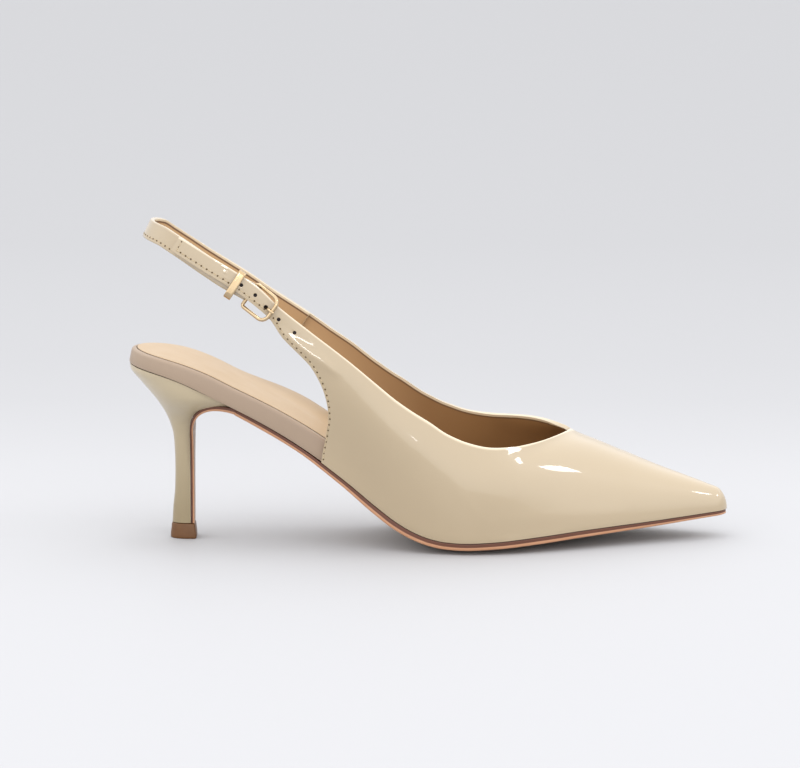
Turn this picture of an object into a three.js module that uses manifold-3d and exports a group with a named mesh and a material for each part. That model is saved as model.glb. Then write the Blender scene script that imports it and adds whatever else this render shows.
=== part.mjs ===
// Slingback pump, right foot. Millimetres, +Z up, toe towards +X, lateral side towards -Y.
import * as THREE from 'three';
import { mergeVertices } from 'three/addons/utils/BufferGeometryUtils.js';
import Module from 'manifold-3d';

const wasm = await Module();
wasm.setup();

// Sizes of the last
const shoeLength = 241;
const heelHeight = 70;
const ballWidth = 72;
const instepHeight = 37;
const slingRise = 56;
const seatRound = 25;
const toeRound = 4.5;

// Walls and clearances
const upperWall = 1.5;
const clearance = 0.3;
const soleThickness = 2.7;
const flapThickness = 1.2;
const soleInset = 0.5;
const seatPadding = 7.4;
const forepartPadding = 3;
const sockThickness = 1;
const sockInset = 2;
const sockTipRoom = 12;

// Heel and top piece
const topPieceHeight = 6.1;
const stemFront = 25;
const lipLength = 42;
const lipRoom = 2.5;
const lipSweep = 4;
const breastShare = 44.5 / 70;
const topPieceSpread = 0.7;

// Sling, tongue and buckle
const slingWidth = 7.8;
const slingThickness = 1.8;
const ankleLength = 33.5;
const ankleBack = 6.5;
const lateralAnkle = 28;
const medialAnkle = 26.5;
const slingEnd = 70;
const backLean = 26;
const sideLean = 9;
const tongueTip = 22.6;
const tongueRoot = 58.5;
const buckleAt = 50.2;
const buckleLength = 11.2;
const buckleWidth = 9.3;
const rodRadius = 0.75;
const prongRadius = 0.5;
const prongEye = 0.8;
const buckleDrop = 0.7;
const loopLeather = 1;
const keeperAt = 44.6;
const keeperWidth = 2.4;
const keeperGauge = 0.9;
const keeperRound = 0.5;
const keeperDrop = 2.2;
const holeRadius = 0.9;
const holePitch = 7;

// The edge between upper and sole, as a share of the heel height, with the sole's thickness there
const edgeRows = [
  { at: 0.000, rise: 1.003, sole: 0.50, crown: 0.0 },
  { at: 0.076, rise: 0.950, sole: 0.60, crown: 0.0 },
  { at: 0.151, rise: 0.848, sole: 0.80, crown: 0.1 },
  { at: 0.220, rise: 0.727, sole: 1.00, crown: 0.2 },
  { at: 0.294, rise: 0.568, sole: 1.00, crown: 0.3 },
  { at: 0.360, rise: 0.400, sole: 1.00, crown: 0.4 },
  { at: 0.413, rise: 0.258, sole: 1.00, crown: 0.6 },
  { at: 0.451, rise: 0.170, sole: 1.00, crown: 0.8 },
  { at: 0.476, rise: 0.126, sole: 1.00, crown: 0.9 },
  { at: 0.501, rise: 0.095, sole: 1.00, crown: 1.0 },
  { at: 0.525, rise: 0.077, sole: 1.00, crown: 1.0 },
  { at: 0.556, rise: 0.070, sole: 1.00, crown: 1.0 },
  { at: 0.600, rise: 0.071, sole: 1.00, crown: 1.0 },
  { at: 0.650, rise: 0.083, sole: 1.00, crown: 0.9 },
  { at: 0.750, rise: 0.110, sole: 0.95, crown: 0.7 },
  { at: 0.880, rise: 0.135, sole: 0.75, crown: 0.4 },
  { at: 0.942, rise: 0.149, sole: 0.65, crown: 0.2 },
  { at: 1.000, rise: 0.162, sole: 0.60, crown: 0.0 },
];
const soleCrown = 2.2;

// The insole seen from above, as shares of the ball width: its middle line and its half width
const planRows = [
  { at: 0.00, middle: 0.000, half: 0.330 },
  { at: 0.08, middle: 0.000, half: 0.348 },
  { at: 0.16, middle: 0.000, half: 0.355 },
  { at: 0.22, middle: -0.003, half: 0.342 },
  { at: 0.30, middle: -0.012, half: 0.318 },
  { at: 0.38, middle: -0.025, half: 0.332 },
  { at: 0.45, middle: -0.036, half: 0.390 },
  { at: 0.52, middle: -0.028, half: 0.462 },
  { at: 0.58, middle: -0.008, half: 0.500 },
  { at: 0.62, middle: 0.008, half: 0.497 },
  { at: 0.68, middle: 0.026, half: 0.455 },
  { at: 0.75, middle: 0.044, half: 0.375 },
  { at: 0.82, middle: 0.058, half: 0.285 },
  { at: 0.88, middle: 0.066, half: 0.204 },
  { at: 0.94, middle: 0.071, half: 0.120 },
  { at: 0.98, middle: 0.073, half: 0.060 },
  { at: 1.00, middle: 0.073, half: 0.034 },
];

// How far the sole's side stands out from the insole's, as a share of the upper's wall
const soleSideRows = [
  { at: 0.17, out: -2.2 },
  { at: 0.24, out: -1.0 },
  { at: 0.30, out: -0.1 },
  { at: 0.34, out: 0.6 },
  { at: 0.42, out: 0.85 },
  { at: 1.00, out: 0.85 },
];

// Each row is one line over the last, from where it stands on the edge to the top of the upper:
// place of its foot and of its top, distance of the top from the axis as a share of the ball width,
// height of the top over the edge as a share of the instep height, lean in degrees, side fullness
const lateralRows = [
  { at: 0.060, top: 0.060, out: 0.389, wall: 1.590, lean: 12, full: 0.34 },
  { at: 0.094, top: 0.094, out: 0.389, wall: 1.590, lean: 11, full: 0.34 },
  { at: 0.141, top: 0.141, out: 0.389, wall: 1.538, lean: 10, full: 0.34 },
  { at: 0.197, top: 0.197, out: 0.396, wall: 1.492, lean: 9, full: 0.34 },
  { at: 0.220, top: 0.220, out: 0.404, wall: 1.470, lean: 9, full: 0.34 },
  { at: 0.258, top: 0.258, out: 0.416, wall: 1.386, lean: 8, full: 0.34 },
  { at: 0.287, top: 0.287, out: 0.422, wall: 1.360, lean: 8, full: 0.34 },
  { at: 0.321, top: 0.321, out: 0.430, wall: 1.346, lean: 8, full: 0.34 },
  { at: 0.387, top: 0.387, out: 0.444, wall: 1.346, lean: 8, full: 0.34 },
  { at: 0.451, top: 0.451, out: 0.460, wall: 1.314, lean: 8, full: 0.34 },
  { at: 0.492, top: 0.492, out: 0.472, wall: 1.265, lean: 9, full: 0.35 },
  { at: 0.533, top: 0.533, out: 0.480, wall: 1.143, lean: 11, full: 0.36 },
  { at: 0.563, top: 0.565, out: 0.474, wall: 1.062, lean: 15, full: 0.38 },
  { at: 0.592, top: 0.597, out: 0.452, wall: 1.005, lean: 22, full: 0.40 },
  { at: 0.613, top: 0.622, out: 0.416, wall: 0.984, lean: 31, full: 0.43 },
  { at: 0.635, top: 0.648, out: 0.360, wall: 0.970, lean: 42, full: 0.46 },
  { at: 0.660, top: 0.680, out: 0.268, wall: 0.973, lean: 57, full: 0.50 },
  { at: 0.685, top: 0.711, out: 0.142, wall: 0.986, lean: 73, full: 0.53 },
  { at: 0.710, top: 0.729, out: 0.040, wall: 0.995, lean: 84, full: 0.55 },
  { at: 0.735, top: 0.736, out: -0.036, wall: 0.992, lean: 90, full: 0.55 },
];
const medialRows = [
  { at: 0.200, top: 0.200, out: 0.370, wall: 1.330, lean: 8, full: 0.34 },
  { at: 0.219, top: 0.219, out: 0.372, wall: 1.327, lean: 8, full: 0.34 },
  { at: 0.273, top: 0.273, out: 0.374, wall: 1.318, lean: 7, full: 0.34 },
  { at: 0.327, top: 0.327, out: 0.376, wall: 1.320, lean: 6, full: 0.34 },
  { at: 0.381, top: 0.381, out: 0.384, wall: 1.345, lean: 6, full: 0.34 },
  { at: 0.449, top: 0.449, out: 0.405, wall: 1.350, lean: 6, full: 0.34 },
  { at: 0.492, top: 0.492, out: 0.426, wall: 1.290, lean: 7, full: 0.35 },
  { at: 0.536, top: 0.536, out: 0.444, wall: 1.200, lean: 9, full: 0.36 },
  { at: 0.567, top: 0.571, out: 0.448, wall: 1.132, lean: 13, full: 0.38 },
  { at: 0.594, top: 0.602, out: 0.436, wall: 1.100, lean: 20, full: 0.40 },
  { at: 0.615, top: 0.634, out: 0.404, wall: 1.083, lean: 30, full: 0.43 },
  { at: 0.635, top: 0.666, out: 0.343, wall: 1.073, lean: 42, full: 0.46 },
  { at: 0.660, top: 0.693, out: 0.262, wall: 1.055, lean: 57, full: 0.50 },
  { at: 0.685, top: 0.717, out: 0.152, wall: 1.027, lean: 73, full: 0.53 },
  { at: 0.710, top: 0.731, out: 0.085, wall: 1.003, lean: 84, full: 0.55 },
  { at: 0.735, top: 0.736, out: 0.036, wall: 0.992, lean: 90, full: 0.55 },
];

// The ridge of the vamp, shared by both sides, from the throat to the toe
const ridgeRows = [
  { at: 0.735, top: 0.736, out: 0.036, wall: 0.992, lean: 90, full: 0.55 },
  { at: 0.760, top: 0.760, out: 0.039, wall: 0.922, lean: 90, full: 0.56 },
  { at: 0.784, top: 0.784, out: 0.043, wall: 0.849, lean: 90, full: 0.56 },
  { at: 0.811, top: 0.811, out: 0.047, wall: 0.755, lean: 90, full: 0.56 },
  { at: 0.851, top: 0.851, out: 0.054, wall: 0.630, lean: 90, full: 0.56 },
  { at: 0.891, top: 0.891, out: 0.061, wall: 0.508, lean: 90, full: 0.56 },
  { at: 0.932, top: 0.932, out: 0.068, wall: 0.390, lean: 90, full: 0.56 },
  { at: 0.958, top: 0.958, out: 0.072, wall: 0.314, lean: 90, full: 0.55 },
  { at: 0.979, top: 0.979, out: 0.073, wall: 0.252, lean: 90, full: 0.55 },
  { at: 1.000, top: 1.000, out: 0.073, wall: 0.200, lean: 90, full: 0.55 },
];

// Middle line of the tongue: place as a share of the length, height over the edge as a share of the
// instep height, half width as a share of the sling's width
const tongueRows = [
  { at: 0.080, wall: 1.515, half: 0.410 },
  { at: 0.094, wall: 1.491, half: 0.410 },
  { at: 0.141, wall: 1.438, half: 0.415 },
  { at: 0.197, wall: 1.390, half: 0.430 },
  { at: 0.220, wall: 1.363, half: 0.440 },
  { at: 0.240, wall: 1.332, half: 0.445 },
  { at: 0.259, wall: 1.300, half: 0.470 },
];

// Rear edge of each wing from the strap down to the sole, the matching place on the top line,
// and the height over the sole's edge as a share of the instep height. The lateral wing's places
// are counted from the root of its tongue.
const lateralRearRows = [
  { at: -0.0007, wall: 1.190, top: 0.0193 },
  { at: 0.0173, wall: 1.085, top: 0.0373 },
  { at: 0.0413, wall: 1.030, top: 0.0573 },
  { at: 0.0613, wall: 0.985, top: 0.0753 },
  { at: 0.0753, wall: 0.900, top: 0.0933 },
  { at: 0.0853, wall: 0.790, top: 0.1103 },
  { at: 0.0903, wall: 0.655, top: 0.1263 },
  { at: 0.0913, wall: 0.530, top: 0.1413 },
  { at: 0.0883, wall: 0.385, top: 0.1563 },
  { at: 0.0853, wall: 0.255, top: 0.1713 },
  { at: 0.0813, wall: 0.110, top: 0.1863 },
  { at: 0.0793, wall: 0.000, top: 0.2013 },
];
const medialRearRows = [
  { at: 0.222, wall: 1.085, top: 0.236 },
  { at: 0.245, wall: 1.070, top: 0.262 },
  { at: 0.270, wall: 1.045, top: 0.288 },
  { at: 0.296, wall: 1.000, top: 0.314 },
  { at: 0.316, wall: 0.930, top: 0.336 },
  { at: 0.331, wall: 0.820, top: 0.356 },
  { at: 0.339, wall: 0.670, top: 0.374 },
  { at: 0.341, wall: 0.530, top: 0.390 },
  { at: 0.339, wall: 0.385, top: 0.405 },
  { at: 0.335, wall: 0.255, top: 0.420 },
  { at: 0.331, wall: 0.110, top: 0.434 },
  { at: 0.329, wall: 0.000, top: 0.447 },
];

// Middle line of the sling on each side: place as a share of the length, and height over the edge as
// a share of the instep height, which carries its ends, and one of the sling's own rise
const slingLateralRows = [
  { at: 0.030, wall: 0.000, rise: 1.014 },
  { at: 0.058, wall: 0.450, rise: 0.710 },
  { at: 0.081, wall: 0.900, rise: 0.387 },
  { at: 0.116, wall: 1.300, rise: 0.087 },
  { at: 0.141, wall: 1.438, rise: -0.027 },
  { at: 0.172, wall: 1.410, rise: -0.032 },
  { at: 0.208, wall: 1.378, rise: -0.014 },
];
const slingMedialRows = [
  { at: 0.030, wall: 0.000, rise: 1.014 },
  { at: 0.050, wall: 0.300, rise: 0.804 },
  { at: 0.066, wall: 0.550, rise: 0.601 },
  { at: 0.087, wall: 0.800, rise: 0.392 },
  { at: 0.126, wall: 1.050, rise: 0.174 },
  { at: 0.192, wall: 1.250, rise: -0.003 },
  { at: 0.246, wall: 1.250, rise: -0.033 },
  { at: 0.300, wall: 1.250, rise: -0.036 },
];

// Horizontal sections of the heel: height as a share of the heel height, and in shares of the lip's
// length the back of the section, the place where its sides run straight, and its half width
const heelRows = [
  { at: 0.088, back: 0.407, straight: 0.545, half: 0.108 },
  { at: 0.185, back: 0.417, straight: 0.548, half: 0.104 },
  { at: 0.290, back: 0.434, straight: 0.552, half: 0.103 },
  { at: 0.410, back: 0.438, straight: 0.560, half: 0.107 },
  { at: 0.523, back: 0.433, straight: 0.570, half: 0.122 },
  { at: 0.605, back: 0.421, straight: 0.590, half: 0.150 },
  { at: 0.666, back: 0.393, straight: 0.610, half: 0.196 },
  { at: 0.728, back: 0.350, straight: 0.640, half: 0.285 },
  { at: 0.765, back: 0.314, straight: 0.670, half: 0.370 },
  { at: 0.800, back: 0.276, straight: 0.690, half: 0.455 },
  { at: 0.853, back: 0.207, straight: 0.720, half: 0.545 },
  { at: 0.923, back: 0.107, straight: 0.680, half: 0.575 },
  { at: 0.998, back: 0.016, straight: 0.620, half: 0.582 },
  { at: 1.060, back: 0.010, straight: 0.620, half: 0.582 },
];

// Half width of the sole's flap down the heel breast, as a share of the seat's half width
const flapRows = [
  { at: 0.00, half: 0.86 },
  { at: 0.12, half: 0.80 },
  { at: 0.24, half: 0.70 },
  { at: 0.36, half: 0.53 },
  { at: 0.46, half: 0.36 },
  { at: 0.58, half: 0.245 },
  { at: 0.72, half: 0.195 },
  { at: 1.00, half: 0.178 },
];

// Punched holes along the tongue: place ahead of the buckle and drop, as shares of the pitch
const holeRows = [
  { ahead: -0.38, drop: 0.00 },
  { ahead: 0.40, drop: 0.00 },
  { ahead: 1.91, drop: 0.09 },
  { ahead: 2.71, drop: 0.09 },
];

// A smooth line through one column of a table, without overshoot
function track(rows, column) {
  const at = rows.map((row) => row.at);
  const value = rows.map((row) => row[column]);
  const last = rows.length - 1;
  const secant = [];
  for (let i = 0; i < last; i += 1) {
    secant.push((value[i + 1] - value[i]) / (at[i + 1] - at[i]));
  }
  const slope = value.map((_, i) => {
    if (i === 0) return secant[0];
    if (i === last) return secant[last - 1];
    const before = secant[i - 1];
    const after = secant[i];
    if (before * after <= 0) return 0;
    const left = at[i] - at[i - 1];
    const right = at[i + 1] - at[i];
    const a = 2 * right + left;
    const b = right + 2 * left;
    return (a + b) / (a / before + b / after);
  });
  return (place) => {
    const p = THREE.MathUtils.clamp(place, at[0], at[last]);
    let i = 0;
    while (i < last - 1 && p > at[i + 1]) i += 1;
    const span = at[i + 1] - at[i];
    const t = (p - at[i]) / span;
    const t2 = t * t;
    const t3 = t2 * t;
    return value[i] * (2 * t3 - 3 * t2 + 1) + slope[i] * span * (t3 - 2 * t2 + t)
      + value[i + 1] * (3 * t2 - 2 * t3) + slope[i + 1] * span * (t3 - t2);
  };
}

const edgeRise = track(edgeRows, 'rise');
const soleShare = track(edgeRows, 'sole');
const crownShare = track(edgeRows, 'crown');
const planMiddle = track(planRows, 'middle');
const planHalf = track(planRows, 'half');
const soleSide = track(soleSideRows, 'out');

const edgeHeight = (at) => heelHeight * edgeRise(at);
const middleOf = (at) => ballWidth * planMiddle(at);
const quarterRound = (reach, radius) => Math.sqrt(1 - (1 - Math.min(reach / radius, 1)) ** 2);

// Direction of the edge line in the X-Z plane, and its upward normal
function edgeFrame(at) {
  const step = 0.004;
  const low = Math.max(at - step, 0);
  const high = Math.min(at + step, 1);
  const along = new THREE.Vector3((high - low) * shoeLength, 0, edgeHeight(high) - edgeHeight(low));
  along.normalize();
  const up = new THREE.Vector3(-along.z, 0, along.x);
  return { along, up, point: new THREE.Vector3(at * shoeLength, 0, edgeHeight(at)) };
}

// Half width of a flat piece whose outline is the insole's, pulled in by an inset
function insoleHalf(at, inset, tipRoom) {
  const fromBack = at * shoeLength - inset;
  const fromTip = (1 - at) * shoeLength - tipRoom;
  if (fromBack <= 0 || fromTip <= 0) return 0;
  const half = ballWidth * planHalf(at) - inset;
  return half * quarterRound(fromBack, seatRound - inset) * quarterRound(fromTip, toeRound);
}

// How much longer the outline runs there than the axis, so that a wall keeps its thickness
function outlineStretch(at) {
  const step = 0.01;
  return Math.hypot(1, ballWidth * (planHalf(at + step) - planHalf(at - step)) / (2 * step * shoeLength));
}

// Half width of the upper's outside where it stands on the sole
function upperHalf(at) {
  const fromTip = (1 - at) * shoeLength;
  const wall = (clearance + upperWall) * outlineStretch(at);
  return (ballWidth * planHalf(at) + wall) * quarterRound(fromTip, toeRound);
}

// Builds a mesh geometry from points and triangles, joined where points coincide
function geometryOf(points, triangles) {
  const positions = [];
  for (const [a, b, c] of triangles) {
    for (const i of [a, b, c]) {
      positions.push(points[i].x, points[i].y, points[i].z);
    }
  }
  const raw = new THREE.BufferGeometry();
  raw.setAttribute('position', new THREE.Float32BufferAttribute(positions, 3));
  const merged = mergeVertices(raw, 1e-4);
  const index = merged.getIndex().array;
  const kept = [];
  for (let i = 0; i < index.length; i += 3) {
    const [a, b, c] = [index[i], index[i + 1], index[i + 2]];
    if (a !== b && b !== c && a !== c) kept.push(a, b, c);
  }
  merged.setIndex(kept);
  return merged;
}

// Joins rings of equal length into one closed body, capped at both ends unless it closes on itself
function loft(rings, closed = false) {
  const count = rings[0].length;
  const points = rings.flat();
  const triangles = [];
  const spans = closed ? rings.length : rings.length - 1;
  for (let r = 0; r < spans; r += 1) {
    const next = (r + 1) % rings.length;
    for (let i = 0; i < count; i += 1) {
      const j = (i + 1) % count;
      const a = r * count + i;
      const b = r * count + j;
      const c = next * count + j;
      const d = next * count + i;
      triangles.push([a, b, c], [a, c, d]);
    }
  }
  if (!closed) {
    for (const [ring, flip] of [[0, true], [rings.length - 1, false]]) {
      const centre = new THREE.Vector3();
      rings[ring].forEach((point) => centre.addScaledVector(point, 1 / count));
      points.push(centre);
      for (let i = 0; i < count; i += 1) {
        const a = ring * count + i;
        const b = ring * count + ((i + 1) % count);
        triangles.push(flip ? [points.length - 1, b, a] : [points.length - 1, a, b]);
      }
    }
  }
  return outward(geometryOf(points, triangles));
}

// Turns a closed geometry so that its faces point out
function outward(geometry) {
  const position = geometry.getAttribute('position');
  const index = Array.from(geometry.getIndex().array);
  const [a, b, c] = [new THREE.Vector3(), new THREE.Vector3(), new THREE.Vector3()];
  let volume = 0;
  for (let i = 0; i < index.length; i += 3) {
    a.fromBufferAttribute(position, index[i]);
    b.fromBufferAttribute(position, index[i + 1]);
    c.fromBufferAttribute(position, index[i + 2]);
    volume += a.dot(b.cross(c));
  }
  if (volume < 0) {
    for (let i = 0; i < index.length; i += 3) {
      [index[i + 1], index[i + 2]] = [index[i + 2], index[i + 1]];
    }
    geometry.setIndex(index);
  }
  return geometry;
}

function toSolid(geometry) {
  const plain = new THREE.BufferGeometry();
  plain.setAttribute('position', geometry.getAttribute('position'));
  if (geometry.getIndex()) plain.setIndex(geometry.getIndex());
  const merged = mergeVertices(plain, 1e-4);
  return new wasm.Manifold(new wasm.Mesh({
    numProp: 3,
    vertProperties: new Float32Array(merged.getAttribute('position').array),
    triVerts: new Uint32Array(merged.getIndex().array),
  }));
}

function toGeometry(solid) {
  const mesh = solid.getMesh();
  const geometry = new THREE.BufferGeometry();
  geometry.setAttribute('position', new THREE.Float32BufferAttribute(mesh.vertProperties, 3));
  geometry.setIndex(Array.from(mesh.triVerts));
  return geometry;
}

// A solid between two heights of a flat outline drawn in the X-Z plane, centred on Y
function slabAcross(outline, width) {
  const shape = new THREE.Shape(outline.map(([x, z]) => new THREE.Vector2(x, z)));
  const slab = new THREE.ExtrudeGeometry(shape, { depth: width, bevelEnabled: false });
  slab.rotateX(Math.PI / 2);
  slab.translate(0, width / 2, 0);
  return slab;
}

function spread(from, to, steps) {
  return Array.from({ length: steps + 1 }, (_, i) => from + (to - from) * i / steps);
}

// Places that crowd towards both ends, for outlines that are rounded there
function crowded(from, to, steps) {
  return spread(0, Math.PI, steps).map((angle) => from + (to - from) * (1 - Math.cos(angle)) / 2);
}

// Insole board with its padding, wrapped in leather. The padding thins out under the arch.
const insoleTipRoom = toeRound + upperWall + 2 * clearance;
const paddingThins = 0.33;
const paddingThin = 0.5;

function paddingAt(at) {
  const share = THREE.MathUtils.smoothstep(at, paddingThins, paddingThin);
  return THREE.MathUtils.lerp(seatPadding, forepartPadding, share);
}

function flatPiece(inset, tipRoom, lowOf, highOf, roundEdge, steps) {
  const from = (inset + 0.15) / shoeLength;
  const to = 1 - (tipRoom + 0.05) / shoeLength;
  const rings = [];
  const places = [
    ...crowded(from, 2 * seatRound / shoeLength, 18).slice(0, 10),
    ...spread(seatRound / shoeLength, 0.93, steps).slice(1),
    ...crowded(0.93 - (to - 0.93), to, 12).slice(7),
  ];
  for (const at of places) {
    const { up, point } = edgeFrame(at);
    const half = insoleHalf(at, inset, tipRoom);
    const cut = Math.min(roundEdge, half / 2);
    const low = lowOf(at);
    const high = highOf(at);
    const profile = [
      [-half + cut / 2, low], [half - cut / 2, low], [half, low + cut / 2],
      [half, high - cut], [half - cut * 0.3, high - cut * 0.3], [half - cut, high],
      [-half + cut, high], [-half + cut * 0.3, high - cut * 0.3], [-half, high - cut],
      [-half, low + cut / 2],
    ];
    rings.push(profile.map(([y, h]) => new THREE.Vector3(
      point.x + up.x * h,
      middleOf(at) + y,
      point.z + up.z * h,
    )));
  }
  return loft(rings);
}

const pocketFloor = (at) => paddingAt(at) - sockThickness - clearance;

function makeInsole() {
  const board = flatPiece(0, insoleTipRoom, () => 0, paddingAt, 1.4, 24);
  const pocket = flatPiece(
    sockInset - clearance, sockTipRoom - clearance, pocketFloor, (at) => paddingAt(at) + 2, 0.2, 24);
  return toGeometry(toSolid(board).subtract(toSolid(pocket)));
}

function makeSock() {
  return flatPiece(
    sockInset, sockTipRoom, (at) => pocketFloor(at) + clearance, paddingAt, 0.3, 24);
}

// The heel breast in the X-Z plane: it leaves the shank, turns and runs down the stem
const lipPlace = (lipLength + lipRoom) / shoeLength;
const breastTurn = breastShare * heelHeight;
const breastCurve = new THREE.CubicBezierCurve(
  new THREE.Vector2(lipLength + lipRoom, edgeHeight(lipPlace) - clearance),
  new THREE.Vector2(lipLength - lipSweep, edgeHeight(lipPlace) + 0.026 * heelHeight),
  new THREE.Vector2(stemFront, breastTurn + 0.19 * heelHeight),
  new THREE.Vector2(stemFront, breastTurn),
);
const breastFoot = topPieceHeight + clearance;

// Stations of the sole's upper face, from the toe to the foot of the flap
function soleStations() {
  const stations = [];
  const toe = 1 - (soleInset + 0.05) / shoeLength;
  const places = [
    ...crowded(2 * 0.97 - toe, toe, 12).slice(6).reverse(),
    ...spread(0.96, lipPlace, 38),
  ];
  for (const at of places) {
    const { up, point } = edgeFrame(at);
    const wall = (upperWall * soleSide(at) + clearance) * outlineStretch(at);
    const room = ballWidth * planHalf(at) + wall;
    stations.push({
      point: point.addScaledVector(up, -clearance),
      up,
      middle: middleOf(at),
      half: room * quarterRound((1 - at) * shoeLength - soleInset, toeRound),
      thickness: soleThickness * soleShare(at),
      crown: soleCrown * crownShare(at),
    });
  }
  const seatHalf = ballWidth * planHalf(lipPlace);
  const flapHalf = track(flapRows, 'half');
  const startThickness = soleThickness * soleShare(lipPlace);
  const curveLength = breastCurve.getLength();
  const flapLength = curveLength + breastTurn - breastFoot;
  const addFlap = (x, z, tangent, gone) => {
    const share = gone / flapLength;
    stations.push({
      point: new THREE.Vector3(x, 0, z),
      up: new THREE.Vector3(tangent.y, 0, -tangent.x),
      middle: middleOf(lipPlace) * (1 - share),
      half: seatHalf * flapHalf(share),
      thickness: THREE.MathUtils.lerp(startThickness, flapThickness, Math.min(share * 2.5, 1)),
      crown: 0,
    });
  };
  for (const t of spread(0, 1, 12).slice(1)) {
    const place = breastCurve.getPoint(t);
    addFlap(place.x, place.y, breastCurve.getTangent(t), curveLength * t);
  }
  for (const t of spread(0, 1, 6).slice(1)) {
    const z = THREE.MathUtils.lerp(breastTurn, breastFoot, t);
    addFlap(stemFront, z, new THREE.Vector2(0, -1), curveLength + breastTurn - z);
  }
  return stations;
}

function makeOutsole() {
  const rings = soleStations().map(({ point, up, middle, half, thickness, crown }) => {
    const bevel = Math.min(0.5, half / 4);
    const profile = [
      [-half, 0], [half, 0], [half, -thickness * 0.6], [half - bevel, -thickness],
      [half * 0.55, -thickness - crown], [-half * 0.55, -thickness - crown],
      [-half + bevel, -thickness], [-half, -thickness * 0.6],
    ];
    return profile.map(([y, h]) => new THREE.Vector3(
      point.x + up.x * h,
      middle + y,
      Math.max(point.z + up.z * h, 0),
    ));
  });
  return loft(rings);
}

// Heel: horizontal sections, cut by the insole above and by the sole's flap in front
function makeHeel() {
  const back = track(heelRows, 'back');
  const straight = track(heelRows, 'straight');
  const halfOf = track(heelRows, 'half');
  const levels = [
    ...spread(breastFoot / heelHeight, 0.6, 7),
    ...spread(0.64, 1.06, 12),
  ];
  const rings = levels.map((level) => {
    const start = lipLength * back(level);
    const reach = lipLength * straight(level) - start;
    const half = lipLength * halfOf(level);
    const z = heelHeight * level;
    const ring = spread(-90, 90, 18).map((angle) => {
      const turn = THREE.MathUtils.degToRad(angle);
      return new THREE.Vector3(start + reach * (1 - Math.cos(turn)), half * Math.sin(turn), z);
    });
    ring.push(new THREE.Vector3(lipLength, half, z), new THREE.Vector3(lipLength, -half, z));
    return ring;
  });
  const overSeat = spread(-0.02, lipPlace + 0.01, 16).map((at) => {
    const { up, point } = edgeFrame(Math.max(at, 0));
    return [at * shoeLength, point.z - clearance / up.z - Math.min(at, 0) * shoeLength * up.x];
  });
  overSeat.push([shoeLength / 3, heelHeight * 1.5], [-shoeLength / 10, heelHeight * 1.5]);
  const front = spread(0, 1, 16).map((t) => {
    const place = breastCurve.getPoint(t);
    const tangent = breastCurve.getTangent(t);
    return [place.x + tangent.y * clearance, place.y - tangent.x * clearance];
  });
  front.push([stemFront - clearance, -1], [lipLength * 2, -1], [lipLength * 2, front[0][1]]);
  const body = toSolid(loft(rings))
    .subtract(toSolid(slabAcross(overSeat, ballWidth)))
    .subtract(toSolid(slabAcross(front, ballWidth)));
  return toGeometry(body);
}

function makeTopPiece() {
  const base = heelRows[0];
  const half = lipLength * base.half;
  const rings = [[0, topPieceSpread], [topPieceHeight * 0.25, topPieceSpread * 0.9],
    [topPieceHeight, 0.2]].map(([z, grow]) => {
    const start = lipLength * base.back - grow;
    const front = stemFront + flapThickness + grow;
    const reach = lipLength * base.straight - start;
    const ring = spread(-90, 90, 16).map((angle) => {
      const turn = THREE.MathUtils.degToRad(angle);
      return new THREE.Vector3(
        start + reach * (1 - Math.cos(turn)), (half + grow) * Math.sin(turn), z);
    });
    const corner = half + grow;
    ring.push(
      new THREE.Vector3(front - 0.8, corner, z), new THREE.Vector3(front, corner - 0.8, z),
      new THREE.Vector3(front, -corner + 0.8, z), new THREE.Vector3(front - 0.8, -corner, z),
    );
    return ring;
  });
  return loft(rings);
}

// Plan of the ankle at the strap, outside of the tongue: an ellipse behind, the table in front
const ankleCentre = ankleBack + ankleLength;

const throatAt = ridgeRows[0].at;

function wallSide(rows, side, ankleWidth) {
  const ridge = ridgeRows.map((row) => ({ ...row, out: row.out * side }));
  const columns = {};
  for (const column of ['top', 'out', 'wall', 'lean', 'full']) {
    const behind = track(rows, column);
    const ahead = track(ridge, column);
    columns[column] = (at) => (at < throatAt ? behind(at) : ahead(at));
  }

  function outAt(at) {
    const x = at * shoeLength;
    if (x >= ankleCentre) return ballWidth * columns.out(at);
    return ankleWidth * Math.sqrt(Math.max(1 - ((ankleCentre - x) / ankleLength) ** 2, 0));
  }

  // Point of the outside, u from the sole's edge (0) to the top line or ridge (1)
  function point(at, u) {
    const tip = quarterRound((1 - at) * shoeLength, toeRound);
    const topAt = columns.top(at);
    const foot = new THREE.Vector3(
      at * shoeLength, middleOf(at) + side * upperHalf(at), edgeHeight(at));
    const wall = instepHeight * columns.wall(at) * tip;
    const top = new THREE.Vector3(
      topAt * shoeLength, side * outAt(at), edgeHeight(topAt) + wall);
    const lean = THREE.MathUtils.degToRad(columns.lean(at));
    const width = Math.abs(foot.y - top.y);
    const rise = top.z - foot.z;
    const reach = columns.full(at) * (Math.sin(lean) * width + Math.cos(lean) * rise);
    const low = new THREE.Vector3(
      THREE.MathUtils.lerp(foot.x, top.x, 0.3), foot.y, foot.z + rise * 0.42);
    const high = new THREE.Vector3(
      THREE.MathUtils.lerp(foot.x, top.x, 0.8),
      top.y + side * Math.sin(lean) * reach,
      top.z - Math.cos(lean) * reach);
    return new THREE.CubicBezierCurve3(foot, low, high, top).getPoint(u);
  }

  // The share u at which the line standing at a place reaches a height over the edge
  function shareAt(at, height) {
    const target = edgeHeight(at) + height;
    let [low, high] = [0, 1];
    for (let i = 0; i < 30; i += 1) {
      const half = (low + high) / 2;
      if (point(at, half).z < target) low = half;
      else high = half;
    }
    return (low + high) / 2;
  }
  return { point, shareAt, outAt };
}

const lateral = wallSide(lateralRows, -1, lateralAnkle);
const medial = wallSide(medialRows, 1, medialAnkle);

const tongueWall = track(tongueRows, 'wall');
const tongueHalf = track(tongueRows, 'half');

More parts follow.
